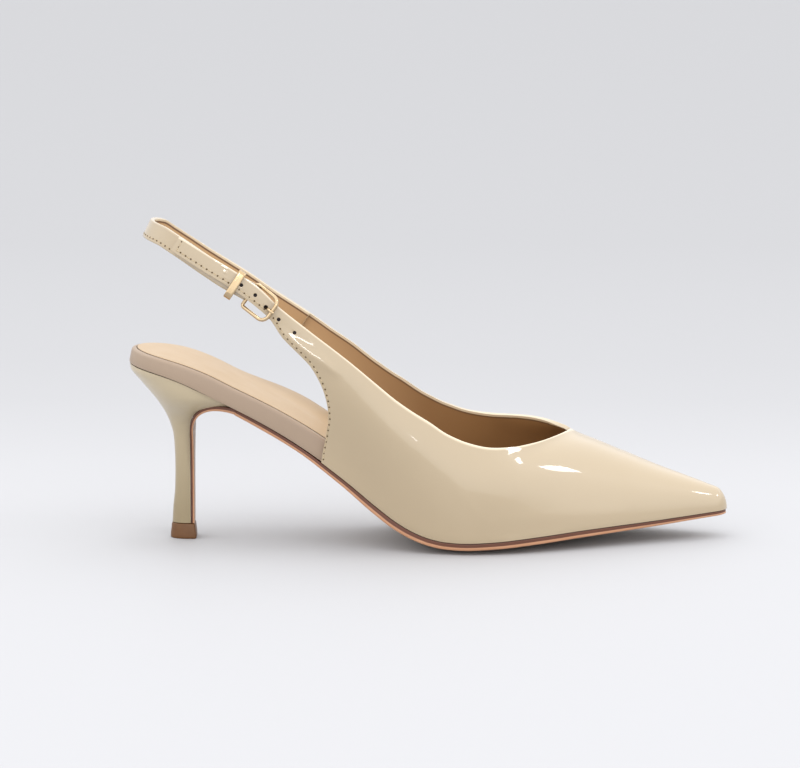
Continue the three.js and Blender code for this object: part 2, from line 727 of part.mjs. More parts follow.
// Point of the tongue's middle line in the side view, and the direction across it
function tongueMiddle(x) {
  const height = (place) => {
    const at = place / shoeLength;
    return edgeHeight(at) + instepHeight * tongueWall(at);
  };
  const along = new THREE.Vector2(1, height(x + 0.5) - height(x - 0.5)).normalize();
  return {
    place: new THREE.Vector2(x, height(x)),
    across: new THREE.Vector2(-along.y, along.x),
    half: slingWidth * tongueHalf(x / shoeLength),
  };
}

// Point on the outside of the lateral wing under a point of the side view
function lateralUnder(x, z) {
  const at = x / shoeLength;
  return { at, u: lateral.shareAt(at, z - edgeHeight(at)) };
}

const acrossSteps = 8;
const foldPlace = 0.735;
const foldReach = 0.13;

// Columns of the upper's outside on one side: each joins a point of the lower edge to the top
function wingColumns(rearRows, from) {
  const columns = rearRows.map(({ at, wall, top }) => (
    { low: { at: from + at, height: instepHeight * wall }, top: from + top }));
  const lastRear = { at: columns[columns.length - 1].low.at, top: columns[columns.length - 1].top };
  const meeting = 0.56;
  for (const at of spread(lastRear.at, meeting, 11).slice(1)) {
    const share = (at - lastRear.at) / (meeting - lastRear.at);
    columns.push({ low: { at, height: 0 }, top: THREE.MathUtils.lerp(lastRear.top, meeting, share) });
  }
  const front = [
    ...spread(meeting, throatAt, 14).slice(1),
    ...spread(throatAt, 0.94, 11).slice(1),
    ...crowded(0.88, 1, 16).slice(9),
  ];
  for (const at of front) columns.push({ low: { at, height: 0 }, top: at });
  return columns;
}

// Softens the fold that runs down from the throat, where the top line meets the ridge
function softened(grid, passes) {
  let current = grid;
  for (let pass = 0; pass < passes; pass += 1) {
    current = current.map((column, c) => column.map((point, r) => {
      const near = 1 - Math.abs(column[0].x / shoeLength - foldPlace) / foldReach;
      const edge = c === 0 || c === current.length - 1 || r === 0 || r === acrossSteps;
      if (near <= 0 || edge) return point;
      const middle = current[c - 1][r].clone().lerp(current[c + 1][r], 0.5);
      return point.clone().lerp(middle, 0.7 * Math.min(near * 2, 1));
    }));
  }
  return current;
}

function sideGrid(wall, rearRows, tongue) {
  const from = tongue ? tongueRoot / shoeLength : 0;
  const grid = [];
  const addColumn = (low, high) => {
    grid.push(spread(0, 1, acrossSteps).map((share) => wall.point(
      THREE.MathUtils.lerp(low.at, high.at, share), THREE.MathUtils.lerp(low.u, high.u, share))));
  };
  if (tongue) {
    for (const x of spread(tongueTip, tongueRoot, 15)) {
      const { place, across, half } = tongueMiddle(x);
      const below = lateralUnder(place.x - across.x * half, place.y - across.y * half);
      const above = lateralUnder(place.x + across.x * half, place.y + across.y * half);
      addColumn(below, above);
    }
  }
  for (const column of wingColumns(rearRows, from)) {
    const { at, height } = column.low;
    const low = { at, u: height > 0 ? wall.shareAt(at, height) : 0 };
    addColumn(low, { at: column.top, u: 1 });
  }
  return softened(grid, 10);
}

// Gives an open sheet of triangles a wall: a second sheet inside it and a band round every free edge
function thicken(points, triangles, innerPoints) {
  const count = points.length;
  const edges = new Map();
  for (const [a, b, c] of triangles) {
    for (const [p, q] of [[a, b], [b, c], [c, a]]) {
      const back = `${q}_${p}`;
      if (edges.has(back)) edges.delete(back);
      else edges.set(`${p}_${q}`, [p, q]);
    }
  }
  const closed = [...triangles];
  for (const [a, b, c] of triangles) closed.push([a + count, c + count, b + count]);
  for (const [p, q] of edges.values()) closed.push([p, p + count, q + count], [p, q + count, q]);
  return outward(geometryOf([...points, ...innerPoints], closed));
}

function sheetNormals(points, triangles) {
  const normals = points.map(() => new THREE.Vector3());
  for (const [a, b, c] of triangles) {
    const ab = points[b].clone().sub(points[a]);
    const ac = points[c].clone().sub(points[a]);
    const normal = ab.cross(ac);
    for (const i of [a, b, c]) normals[i].add(normal);
  }
  return normals.map((normal) => normal.normalize());
}

// Joins grids into one sheet. Points that coincide share a number.
function joinSheet(grids) {
  const points = [];
  const numbers = new Map();
  const numberOf = (point) => {
    const key = [point.x, point.y, point.z].map((value) => Math.round(value * 2000)).join(' ');
    if (!numbers.has(key)) {
      numbers.set(key, points.length);
      points.push(point);
    }
    return numbers.get(key);
  };
  const triangles = [];
  for (const { grid, flip } of grids) {
    const numbered = grid.map((column) => column.map(numberOf));
    for (let c = 0; c < numbered.length - 1; c += 1) {
      for (let r = 0; r < acrossSteps; r += 1) {
        const corners = [numbered[c][r], numbered[c + 1][r], numbered[c + 1][r + 1], numbered[c][r + 1]];
        if (flip) corners.reverse();
        for (const [i, j, k] of [[0, 1, 2], [0, 2, 3]]) {
          const triangle = [corners[i], corners[j], corners[k]];
          if (new Set(triangle).size === 3) triangles.push(triangle);
        }
      }
    }
  }
  return { points, triangles };
}

function makeUpperShell() {
  const lateralGrid = sideGrid(lateral, lateralRearRows, true);
  const medialGrid = sideGrid(medial, medialRearRows, false);
  const { points, triangles } = joinSheet([
    { grid: lateralGrid, flip: false },
    { grid: medialGrid, flip: true },
  ]);
  const normals = sheetNormals(points, triangles);
  const inner = points.map((point, i) => point.clone().addScaledVector(normals[i], -upperWall));
  // In the toe's tip the inside ends in a flat face across the last
  const tipFace = shoeLength - toeRound * 1.1;
  const tipAt = tipFace / shoeLength;
  const tipFoot = new THREE.Vector3(tipFace, middleOf(tipAt), edgeHeight(tipAt));
  inner.forEach((point, i) => {
    const beyond = points[i].x - tipFace;
    if (beyond <= 0) return;
    const share = Math.min(beyond / toeRound, 1);
    point.x = tipFace;
    point.y = THREE.MathUtils.lerp(point.y, tipFoot.y, share);
    point.z = THREE.MathUtils.lerp(point.z, tipFoot.z, share);
  });
  return thicken(points, triangles, inner);
}

// Axes on the tongue's outside at a place: forward along it, up across it, and out of it
function tongueAxes(x) {
  const on = (place, lift) => {
    const middle = tongueMiddle(place);
    const lifted = middle.place.clone().addScaledVector(middle.across, lift);
    const under = lateralUnder(lifted.x, lifted.y);
    return lateral.point(under.at, under.u);
  };
  const origin = on(x, 0);
  const forward = on(x + 1, 0).sub(on(x - 1, 0)).normalize();
  const across = on(x, 1).sub(on(x, -1)).normalize();
  const out = new THREE.Vector3().crossVectors(forward, across).normalize();
  if (out.y > 0) out.negate();
  across.crossVectors(out, forward).normalize();
  if (across.z < 0) across.negate();
  return { origin, forward, across, out };
}

function placeOn({ origin, forward, across, out }, f, w, n) {
  return origin.clone().addScaledVector(forward, f).addScaledVector(across, w).addScaledVector(out, n);
}

// How far the wing stands out over the buckle's own plane under the front end of its frame
function wingLift() {
  const lifts = spread(-buckleWidth / 2, buckleWidth / 2, 4).map((w) => {
    const spot = placeOn(buckle, buckleLength, w - buckleDrop, 0);
    const under = lateralUnder(spot.x, spot.z);
    return lateral.point(under.at, under.u).sub(spot).dot(buckle.out);
  });
  return Math.max(0, ...lifts);
}

const buckle = tongueAxes(buckleAt);
const barDepth = upperWall + clearance * 2 + loopLeather + rodRadius;
const frontLift = clearance + rodRadius + wingLift();
const loopRadius = rodRadius + clearance + loopLeather;
const buckleLean = Math.atan2(barDepth + frontLift, buckleLength);

// Round tube along given points, closed on itself or with flat ends
function tube(points, radius, sides, closed) {
  const count = points.length;
  const rings = [];
  let side = new THREE.Vector3(0.3, 1, 0.2);
  points.forEach((point, i) => {
    const before = closed ? points[(i + count - 1) % count] : points[Math.max(i - 1, 0)];
    const after = closed ? points[(i + 1) % count] : points[Math.min(i + 1, count - 1)];
    const along = after.clone().sub(before).normalize();
    side = side.clone().addScaledVector(along, -side.dot(along)).normalize();
    const other = new THREE.Vector3().crossVectors(along, side);
    rings.push(spread(0, 2 * Math.PI, sides).slice(0, sides).map((angle) => point.clone()
      .addScaledVector(side, radius * Math.cos(angle))
      .addScaledVector(other, radius * Math.sin(angle))));
  });
  return loft(rings, closed);
}

// Outline of the buckle frame from above, as a rounded rectangle
function roundedOutline(length, width, radii, perCorner) {
  const half = width / 2;
  const corners = [
    { f: length, w: half, turn: 0, radius: radii.front },
    { f: 0, w: half, turn: 90, radius: radii.rear },
    { f: 0, w: -half, turn: 180, radius: radii.rear },
    { f: length, w: -half, turn: 270, radius: radii.front },
  ];
  return corners.flatMap(({ f, w, turn, radius }) => {
    const centre = [f - Math.sign(f - length / 2) * radius, w - Math.sign(w) * radius];
    return spread(turn, turn + 90, perCorner).map((angle) => {
      const t = THREE.MathUtils.degToRad(angle);
      return [centre[0] + radius * Math.cos(t), centre[1] + radius * Math.sin(t)];
    });
  });
}

function makeBuckleFrame() {
  const outline = roundedOutline(buckleLength, buckleWidth, { front: 3, rear: 1.1 }, 5);
  const points = outline.map(([f, w]) => {
    const n = THREE.MathUtils.lerp(-barDepth, frontLift, f / buckleLength);
    return placeOn(buckle, f, w - buckleDrop, n);
  });
  return tube(points, rodRadius, 8, true);
}

// A ring round the anchor bar, of a given outer radius and width
function barRing(outerRadius, width) {
  const shape = new THREE.Shape();
  shape.absarc(0, 0, outerRadius, 0, 2 * Math.PI);
  const hole = new THREE.Path();
  hole.absarc(0, 0, rodRadius + clearance, 0, 2 * Math.PI, true);
  shape.holes.push(hole);
  const ring = new THREE.ExtrudeGeometry(shape, { depth: width, bevelEnabled: false, curveSegments: 10 });
  ring.translate(0, 0, -width / 2);
  const basis = new THREE.Matrix4().makeBasis(
    buckle.forward, buckle.out, new THREE.Vector3().crossVectors(buckle.forward, buckle.out));
  ring.applyMatrix4(basis);
  const centre = placeOn(buckle, 0, -buckleDrop, -barDepth);
  ring.translate(centre.x, centre.y, centre.z);
  return toSolid(ring);
}

const prongWidth = 2 * prongRadius;
const eyeRadius = rodRadius + clearance + prongEye;

function makeProng() {
  const crest = frontLift + rodRadius + clearance + prongRadius;
  const route = [
    [rodRadius + clearance + 0.5, -barDepth + 0.1],
    [buckleLength * 0.36, -barDepth + 0.75],
    [buckleLength * 0.58, -barDepth + 1.35],
    [buckleLength * 0.71, -upperWall + 0.1],
    [buckleLength * 0.80, 0.2],
    [buckleLength * 0.86, crest * 0.7],
    [buckleLength, crest],
    [buckleLength + 0.9, crest - 0.15],
  ].map(([f, n]) => placeOn(buckle, f, -buckleDrop, n));
  const rod = tube(new THREE.CatmullRomCurve3(route).getPoints(18), prongRadius, 8, false);
  return toGeometry(toSolid(rod).add(barRing(eyeRadius, prongWidth)));
}

// Punched holes through the tongue, and the longer one that the prong passes
function punch(solid) {
  const prongHole = placeOn(buckle, buckleLength * 0.735, -buckleDrop, 0);
  let punched = solid.subtract(holeCutter(prongHole, buckle, 2 * holeRadius, holeRadius + clearance / 2));
  for (const { ahead, drop } of holeRows) {
    const axes = tongueAxes(buckleAt + holePitch * ahead);
    const centre = placeOn(axes, 0, -holePitch * drop, 0);
    punched = punched.subtract(holeCutter(centre, axes, holeRadius, holeRadius));
  }
  return punched;
}

function holeCutter(centre, axes, long, wide) {
  const cutter = new THREE.CylinderGeometry(1, 1, upperWall * 4, 10);
  cutter.scale(long, 1, wide);
  const basis = new THREE.Matrix4().makeBasis(
    axes.forward, axes.out, new THREE.Vector3().crossVectors(axes.forward, axes.out));
  cutter.applyMatrix4(basis);
  cutter.translate(centre.x, centre.y, centre.z);
  return toSolid(cutter);
}

function makeUpper() {
  return toGeometry(punch(toSolid(makeUpperShell())));
}

// Middle line of the sling strap, from the anchor bar round the heel to the medial wing
function slingRoute() {
  const inset = upperWall + 1.3 * clearance + slingThickness / 2;
  const heights = (rows) => ({ wall: track(rows, 'wall'), rise: track(rows, 'rise') });
  const lateralRise = heights(slingLateralRows);
  const medialRise = heights(slingMedialRows);
  const heightAt = (x, { wall, rise }) => {
    const at = x / shoeLength;
    return edgeHeight(at) + instepHeight * wall(at) + slingRise * rise(at);
  };
  const route = [];
  for (const x of spread(buckleAt - loopRadius * 0.4, ankleCentre, 4)) {
    const y = -(lateral.outAt(x / shoeLength) - inset);
    route.push({ point: new THREE.Vector3(x, y, heightAt(x, lateralRise)), side: -1, turn: 0 });
  }
  for (const angle of spread(-90, 90, 28).slice(1)) {
    const turn = THREE.MathUtils.degToRad(angle);
    const x = ankleCentre - (ankleLength - inset) * Math.cos(turn);
    const width = (angle < 0 ? lateralAnkle : medialAnkle) - inset;
    const rise = angle < 0 ? lateralRise : medialRise;
    route.push({
      point: new THREE.Vector3(x, width * Math.sin(turn), heightAt(x, rise)),
      side: Math.sin(turn),
      turn: Math.cos(turn),
    });
  }
  for (const x of spread(ankleCentre, slingEnd, 8).slice(1)) {
    const y = medial.outAt(Math.max(x / shoeLength, 0.2)) - inset;
    route.push({ point: new THREE.Vector3(x, y, heightAt(x, medialRise)), side: 1, turn: 0 });
  }
  return route;
}

function makeSling() {
  const route = slingRoute();
  const curve = new THREE.CatmullRomCurve3(route.map(({ point }) => point));
  const rings = route.map(({ point, side, turn }, i) => {
    const along = curve.getTangent(i / (route.length - 1));
    const lean = THREE.MathUtils.degToRad(sideLean + (backLean - sideLean) * turn ** 3);
    const out = new THREE.Vector3(-turn * Math.cos(lean), side * Math.cos(lean), Math.sin(lean));
    out.addScaledVector(along, -out.dot(along)).normalize();
    const across = new THREE.Vector3().crossVectors(along, out).normalize();
    const [w, n] = [slingWidth / 2, slingThickness / 2];
    return [[-w, -n], [w, -n], [w, n], [-w, n]].map(([a, b]) => point.clone()
      .addScaledVector(across, a).addScaledVector(out, b));
  });
  const slot = new THREE.BoxGeometry(loopRadius * 4, prongWidth + 2 * clearance, loopRadius * 4);
  const basis = new THREE.Matrix4().makeBasis(buckle.forward, buckle.across, buckle.out);
  slot.translate(loopRadius * 2 - eyeRadius - clearance, 0, 0);
  slot.applyMatrix4(basis);
  const centre = placeOn(buckle, 0, -buckleDrop, -barDepth);
  slot.translate(centre.x, centre.y, centre.z);
  const fold = barRing(loopRadius, buckleWidth - 2 * rodRadius - 2 * clearance);
  const barRoom = tube(
    [-1, 1].map((w) => placeOn(buckle, 0, -buckleDrop + w * slingWidth, -barDepth)),
    rodRadius + clearance, 16, false);
  return toGeometry(toSolid(loft(rings)).add(fold).subtract(toSolid(barRoom)).subtract(toSolid(slot)));
}

function makeKeeper() {
  const axes = tongueAxes(keeperAt);
  const { half } = tongueMiddle(keeperAt);
  const top = half + clearance * 2;
  const bottom = -slingWidth / 2 - keeperDrop - clearance * 2;
  const front = clearance * 1.5;
  const rear = -(upperWall + slingThickness + clearance * 5);
  const box = (grow) => {
    const shape = grow > 0 ? new THREE.Shape() : new THREE.Path();
    const [left, right] = [bottom - grow, top + grow];
    const [low, high] = [rear - grow, front + grow];
    const radius = keeperRound + grow;
    shape.absarc(right - radius, high - radius, radius, 0, Math.PI / 2);
    shape.absarc(left + radius, high - radius, radius, Math.PI / 2, Math.PI);
    shape.absarc(left + radius, low + radius, radius, Math.PI, 1.5 * Math.PI);
    shape.absarc(right - radius, low + radius, radius, 1.5 * Math.PI, 2 * Math.PI);
    shape.closePath();
    return shape;
  };
  const shape = box(keeperGauge);
  shape.holes.push(box(0));
  const sweep = { depth: keeperWidth, bevelEnabled: false, curveSegments: 5 };
  const band = new THREE.ExtrudeGeometry(shape, sweep);
  band.translate(0, 0, -keeperWidth / 2);
  const basis = new THREE.Matrix4().makeBasis(
    axes.across, axes.out, new THREE.Vector3().crossVectors(axes.across, axes.out));
  band.applyMatrix4(basis);
  band.translate(axes.origin.x, axes.origin.y, axes.origin.z);
  return toGeometry(toSolid(band));
}

const patentNude = new THREE.MeshStandardMaterial({ color: 0xdcc8a5, roughness: 0.12, metalness: 0 });
const slingLeather = new THREE.MeshStandardMaterial({ color: 0xdcc8a5, roughness: 0.12, metalness: 0 });
const taupeLeather = new THREE.MeshStandardMaterial({ color: 0xb4a28c, roughness: 0.45, metalness: 0 });
const sockLeather = new THREE.MeshStandardMaterial({ color: 0xeed6b4, roughness: 0.6, metalness: 0 });
const soleLeather = new THREE.MeshStandardMaterial({ color: 0xc89673, roughness: 0.5, metalness: 0 });
const heelCover = new THREE.MeshStandardMaterial({ color: 0xc3b496, roughness: 0.35, metalness: 0 });
const brownRubber = new THREE.MeshStandardMaterial({ color: 0x7d5830, roughness: 0.5, metalness: 0 });
const goldMetal = new THREE.MeshStandardMaterial({ color: 0xe6cd96, roughness: 0.2, metalness: 1 });

const pieces = [
  { name: 'upper', geometry: makeUpper(), material: patentNude },
  { name: 'sling_strap', geometry: makeSling(), material: slingLeather },
  { name: 'insole', geometry: makeInsole(), material: taupeLeather },
  { name: 'sock_lining', geometry: makeSock(), material: sockLeather },
  { name: 'outsole', geometry: makeOutsole(), material: soleLeather },
  { name: 'heel', geometry: makeHeel(), material: heelCover },
  { name: 'top_piece', geometry: makeTopPiece(), material: brownRubber },
  { name: 'buckle_frame', geometry: makeBuckleFrame(), material: goldMetal },
  { name: 'buckle_prong', geometry: makeProng(), material: goldMetal },
  { name: 'keeper_loop', geometry: makeKeeper(), material: goldMetal },
];

const shoe = new THREE.Group();
for (const { name, geometry, material } of pieces) {
  geometry.computeVertexNormals();
  const mesh = new THREE.Mesh(geometry, material);
  mesh.name = name;
  shoe.add(mesh);
}

// The origin lies on the floor, under the middle of the shoe
const bounds = new THREE.Box3().setFromObject(shoe);
const centre = bounds.getCenter(new THREE.Vector3());
shoe.position.set(-centre.x, -centre.y, 0);

export default shoe;
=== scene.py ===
import math

import bmesh
import bpy
import numpy as np
from mathutils import Matrix, Quaternion, Vector, kdtree


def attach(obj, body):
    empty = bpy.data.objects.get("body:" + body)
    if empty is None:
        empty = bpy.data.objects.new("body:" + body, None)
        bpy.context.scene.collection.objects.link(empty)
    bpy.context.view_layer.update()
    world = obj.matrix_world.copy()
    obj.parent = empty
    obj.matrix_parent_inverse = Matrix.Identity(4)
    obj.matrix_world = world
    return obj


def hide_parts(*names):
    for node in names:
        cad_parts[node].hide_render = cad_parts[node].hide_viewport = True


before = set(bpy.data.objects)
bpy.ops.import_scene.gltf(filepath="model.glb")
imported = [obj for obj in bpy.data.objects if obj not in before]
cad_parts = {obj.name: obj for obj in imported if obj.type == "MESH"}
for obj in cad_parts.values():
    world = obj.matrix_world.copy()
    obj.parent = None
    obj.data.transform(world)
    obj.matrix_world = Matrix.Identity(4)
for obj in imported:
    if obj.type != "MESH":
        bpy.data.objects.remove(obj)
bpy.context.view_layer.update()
print("frame loaded")

mm = 0.001
mergeGap = 3e-6
sliver = 1e-6

# The last: sizes in millimetres, x from the back of the seat, y towards the inner side
last = {
    "origin": (-120.575, 0.158, 0.0),
    "length": 241.0,
    "heelHeight": 70.0,
    "ballWidth": 72.0,
    "instepHeight": 37.0,
    "seatRound": 25.0,
    "toeRound": 4.5,
    "clearance": 0.3,
    "upperWall": 1.5,
}
lastOrigin = Vector(last["origin"])
shoeLength = last["length"]
clearance = last["clearance"]

# at (0 is the back of the seat, 1 the toe), rise of the lower edge, sole's thickness, its crown
edgeRows = [
    (0.000, 1.003, 0.50, 0.0), (0.076, 0.950, 0.60, 0.0), (0.151, 0.848, 0.80, 0.1),
    (0.220, 0.727, 0.84, 0.2), (0.294, 0.568, 0.74, 0.3), (0.360, 0.400, 0.82, 0.4),
    (0.413, 0.254, 0.96, 0.6), (0.451, 0.163, 1.00, 0.8), (0.476, 0.119, 1.00, 0.9),
    (0.501, 0.090, 1.00, 1.0), (0.525, 0.075, 1.00, 1.0), (0.556, 0.070, 1.00, 1.0),
    (0.600, 0.074, 1.00, 1.0), (0.650, 0.086, 1.00, 0.9), (0.750, 0.111, 0.95, 0.7),
    (0.880, 0.135, 0.75, 0.4), (0.942, 0.149, 0.65, 0.2), (1.000, 0.162, 0.60, 0.0),
]
# at, middle line, half width, in ball widths
planRows = [
    (0.00, 0.000, 0.330), (0.08, 0.000, 0.348), (0.16, 0.000, 0.355), (0.22, -0.003, 0.342),
    (0.30, -0.012, 0.318), (0.38, -0.025, 0.332), (0.45, -0.036, 0.390), (0.52, -0.028, 0.462),
    (0.58, -0.008, 0.500), (0.62, 0.008, 0.497), (0.68, 0.026, 0.455), (0.75, 0.044, 0.375),
    (0.82, 0.058, 0.285), (0.88, 0.066, 0.204), (0.94, 0.071, 0.120), (0.98, 0.073, 0.060),
    (1.00, 0.073, 0.034),
]


def track(rows, column):
    # a smooth line through one column of a table, without overshoot
    at = [row[0] for row in rows]
    value = [row[column] for row in rows]
    end = len(rows) - 1
    secant = [(value[i + 1] - value[i]) / (at[i + 1] - at[i]) for i in range(end)]
    slope = [secant[0]]
    for i in range(1, end):
        before, after = secant[i - 1], secant[i]
        if before * after <= 0:
            slope.append(0.0)
            continue
        left, right = at[i] - at[i - 1], at[i + 1] - at[i]
        a, b = 2 * right + left, right + 2 * left
        slope.append((a + b) / (a / before + b / after))
    slope.append(secant[-1])

    def read(place):
        p = min(max(place, at[0]), at[end])
        i = 0
        while i < end - 1 and p > at[i + 1]:
            i += 1
        span = at[i + 1] - at[i]
        t = (p - at[i]) / span
        t2, t3 = t * t, t * t * t
        return (value[i] * (2 * t3 - 3 * t2 + 1) + slope[i] * span * (t3 - 2 * t2 + t)
                + value[i + 1] * (3 * t2 - 2 * t3) + slope[i + 1] * span * (t3 - t2))

    return read


edgeRise = track(edgeRows, 1)
soleShare = track(edgeRows, 2)
crownShare = track(edgeRows, 3)
planMiddle = track(planRows, 1)
planHalf = track(planRows, 2)


def edgeHeight(at):
    return last["heelHeight"] * edgeRise(at)


def middleOf(at):
    return last["ballWidth"] * planMiddle(at)


def quarterRound(reach, radius):
    return math.sqrt(max(1 - (1 - min(reach / radius, 1)) ** 2, 0))


def lerp(a, b, t):
    return a + (b - a) * t


def smoothstep(x, low, high):
    t = min(max((x - low) / (high - low), 0), 1)
    return t * t * (3 - 2 * t)


def bezier(a, b, c, d, t):
    v = 1 - t
    return a * v ** 3 + b * (3 * v * v * t) + c * (3 * v * t * t) + d * t ** 3


def turnover(low, high, before):
    # the place between low and high where before stops being true
    for _ in range(26):
        half = (low + high) / 2
        if before(half):
            low = half
        else:
            high = half
    return (low + high) / 2


def spread(low, high, steps):
    return [low + (high - low) * i / steps for i in range(steps + 1)]


def crowded(low, high, steps):
    return [low + (high - low) * (1 - math.cos(math.pi * i / steps)) / 2 for i in range(steps + 1)]


def edgeFrame(at):
    # the way up from the last's lower edge, and the point on that edge
    step = 0.004
    low, high = max(at - step, 0), min(at + step, 1)
    along = Vector(((high - low) * shoeLength, 0, edgeHeight(high) - edgeHeight(low))).normalized()
    return Vector((-along.z, 0, along.x)), Vector((at * shoeLength, 0, edgeHeight(at)))


def outlineStretch(at):
    step = 0.01
    rise = last["ballWidth"] * (planHalf(at + step) - planHalf(at - step))
    return math.hypot(1, rise / (2 * step * shoeLength))


def insoleHalf(at, inset, tipRoom):
    fromBack = at * shoeLength - inset
    fromTip = (1 - at) * shoeLength - tipRoom
    if fromBack <= 0 or fromTip <= 0:
        return 0.0
    half = last["ballWidth"] * planHalf(at) - inset
    return (half * quarterRound(fromBack, last["seatRound"] - inset)
            * quarterRound(fromTip, last["toeRound"]))


def upperHalf(at):
    wall = (clearance + last["upperWall"]) * outlineStretch(at)
    return (last["ballWidth"] * planHalf(at) + wall) * quarterRound((1 - at) * shoeLength,
                                                                    last["toeRound"])


# Mesh helpers

def toFrame(point):
    # from the last's millimetres to the frame's metres
    return (Vector(point) + lastOrigin) * mm


def sheetOf(points, extras=None):
    # a grid laid over rows of points; extras are values kept on its vertices
    columns, rows = len(points) - 1, len(points[0]) - 1
    bm = bmesh.new()
    bmesh.ops.create_grid(bm, x_segments=columns, y_segments=rows, size=1)
    xs = [vert.co.x for vert in bm.verts]
    ys = [vert.co.y for vert in bm.verts]
    lowX, highX, lowY, highY = min(xs), max(xs), min(ys), max(ys)
    layers = {name: bm.verts.layers.float.new(name) for name in (extras or {})}
    mapLayer = bm.loops.layers.uv.new("PieceMap")
    for vert in bm.verts:
        c = round((vert.co.x - lowX) / (highX - lowX) * columns)
        r = round((vert.co.y - lowY) / (highY - lowY) * rows)
        for loop in vert.link_loops:
            loop[mapLayer].uv = (c / columns, r / rows)
        for name, layer in layers.items():
            vert[layer] = extras[name][c][r]
        vert.co = toFrame(points[c][r])
    return bm


def toMesh(name, bm):
    mesh = bpy.data.meshes.new(name)
    bm.to_mesh(mesh)
    bm.free()
    return mesh


def toScene(name, data):
    made = bpy.data.objects.new(name, data)
    bpy.context.scene.collection.objects.link(made)
    return made


def addTo(bm, other):
    # pours one bmesh into another
    carried = toMesh("carried", other)
    bm.from_mesh(carried)
    bpy.data.meshes.remove(carried)


def weld(bm):
    bmesh.ops.remove_doubles(bm, verts=bm.verts, dist=mergeGap)


def treeOf(spots):
    tree = kdtree.KDTree(len(spots))
    for i, spot in enumerate(spots):
        tree.insert(spot, i)
    tree.balance()
    return tree


def turnOut(bm, insideOf):
    # faces of an open sheet point away from the inside
    bmesh.ops.recalc_face_normals(bm, faces=bm.faces)
    total = 0.0
    for face in bm.faces:
        centre = face.calc_center_median()
        total += face.normal.dot(centre - insideOf(centre)) * face.calc_area()
    if total < 0:
        bmesh.ops.reverse_faces(bm, faces=bm.faces)


def makePiece(name, bm, materials, nodes, closed=True, sharp=None):
    weld(bm)
    if closed:
        bmesh.ops.recalc_face_normals(bm, faces=bm.faces)
    mesh = toMesh(name, bm)
    mesh.polygons.foreach_set("use_smooth", [True] * len(mesh.polygons))
    if sharp is not None:
        mesh.set_sharp_from_angle(angle=math.radians(sharp))
    for material in materials:
        mesh.materials.append(material)
    piece = toScene(name, mesh)
    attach(piece, "root")
    if nodes:
        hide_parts(*nodes)
    return piece


def addSolidify(piece, thickness, offset, innerMaterial=0, rimMaterial=0):
    wall = piece.modifiers.new("Wall", "SOLIDIFY")
    wall.thickness = thickness * mm
    wall.offset = offset
    wall.material_offset = innerMaterial
    wall.material_offset_rim = rimMaterial


def addBevel(piece, width, segments, angle):
    bevel = piece.modifiers.new("Edge", "BEVEL")
    bevel.width = width * mm
    bevel.segments = segments
    bevel.limit_method = "ANGLE"
    bevel.angle_limit = math.radians(angle)
    bevel.use_clamp_overlap = True


def bakeModifiers(piece):
    graph = bpy.context.evaluated_depsgraph_get()
    mesh = bpy.data.meshes.new_from_object(piece.evaluated_get(graph), preserve_all_data_layers=True,
                                           depsgraph=graph)
    piece.modifiers.clear()
    old = piece.data
    piece.data = mesh
    bpy.data.meshes.remove(old)


# Materials

def tint(red, green, blue):
    def linear(value):
        value /= 255
        return value / 12.92 if value <= 0.04045 else ((value + 0.055) / 1.055) ** 2.4
    return (linear(red), linear(green), linear(blue), 1.0)


black, white = (0, 0, 0, 1), (1, 1, 1, 1)


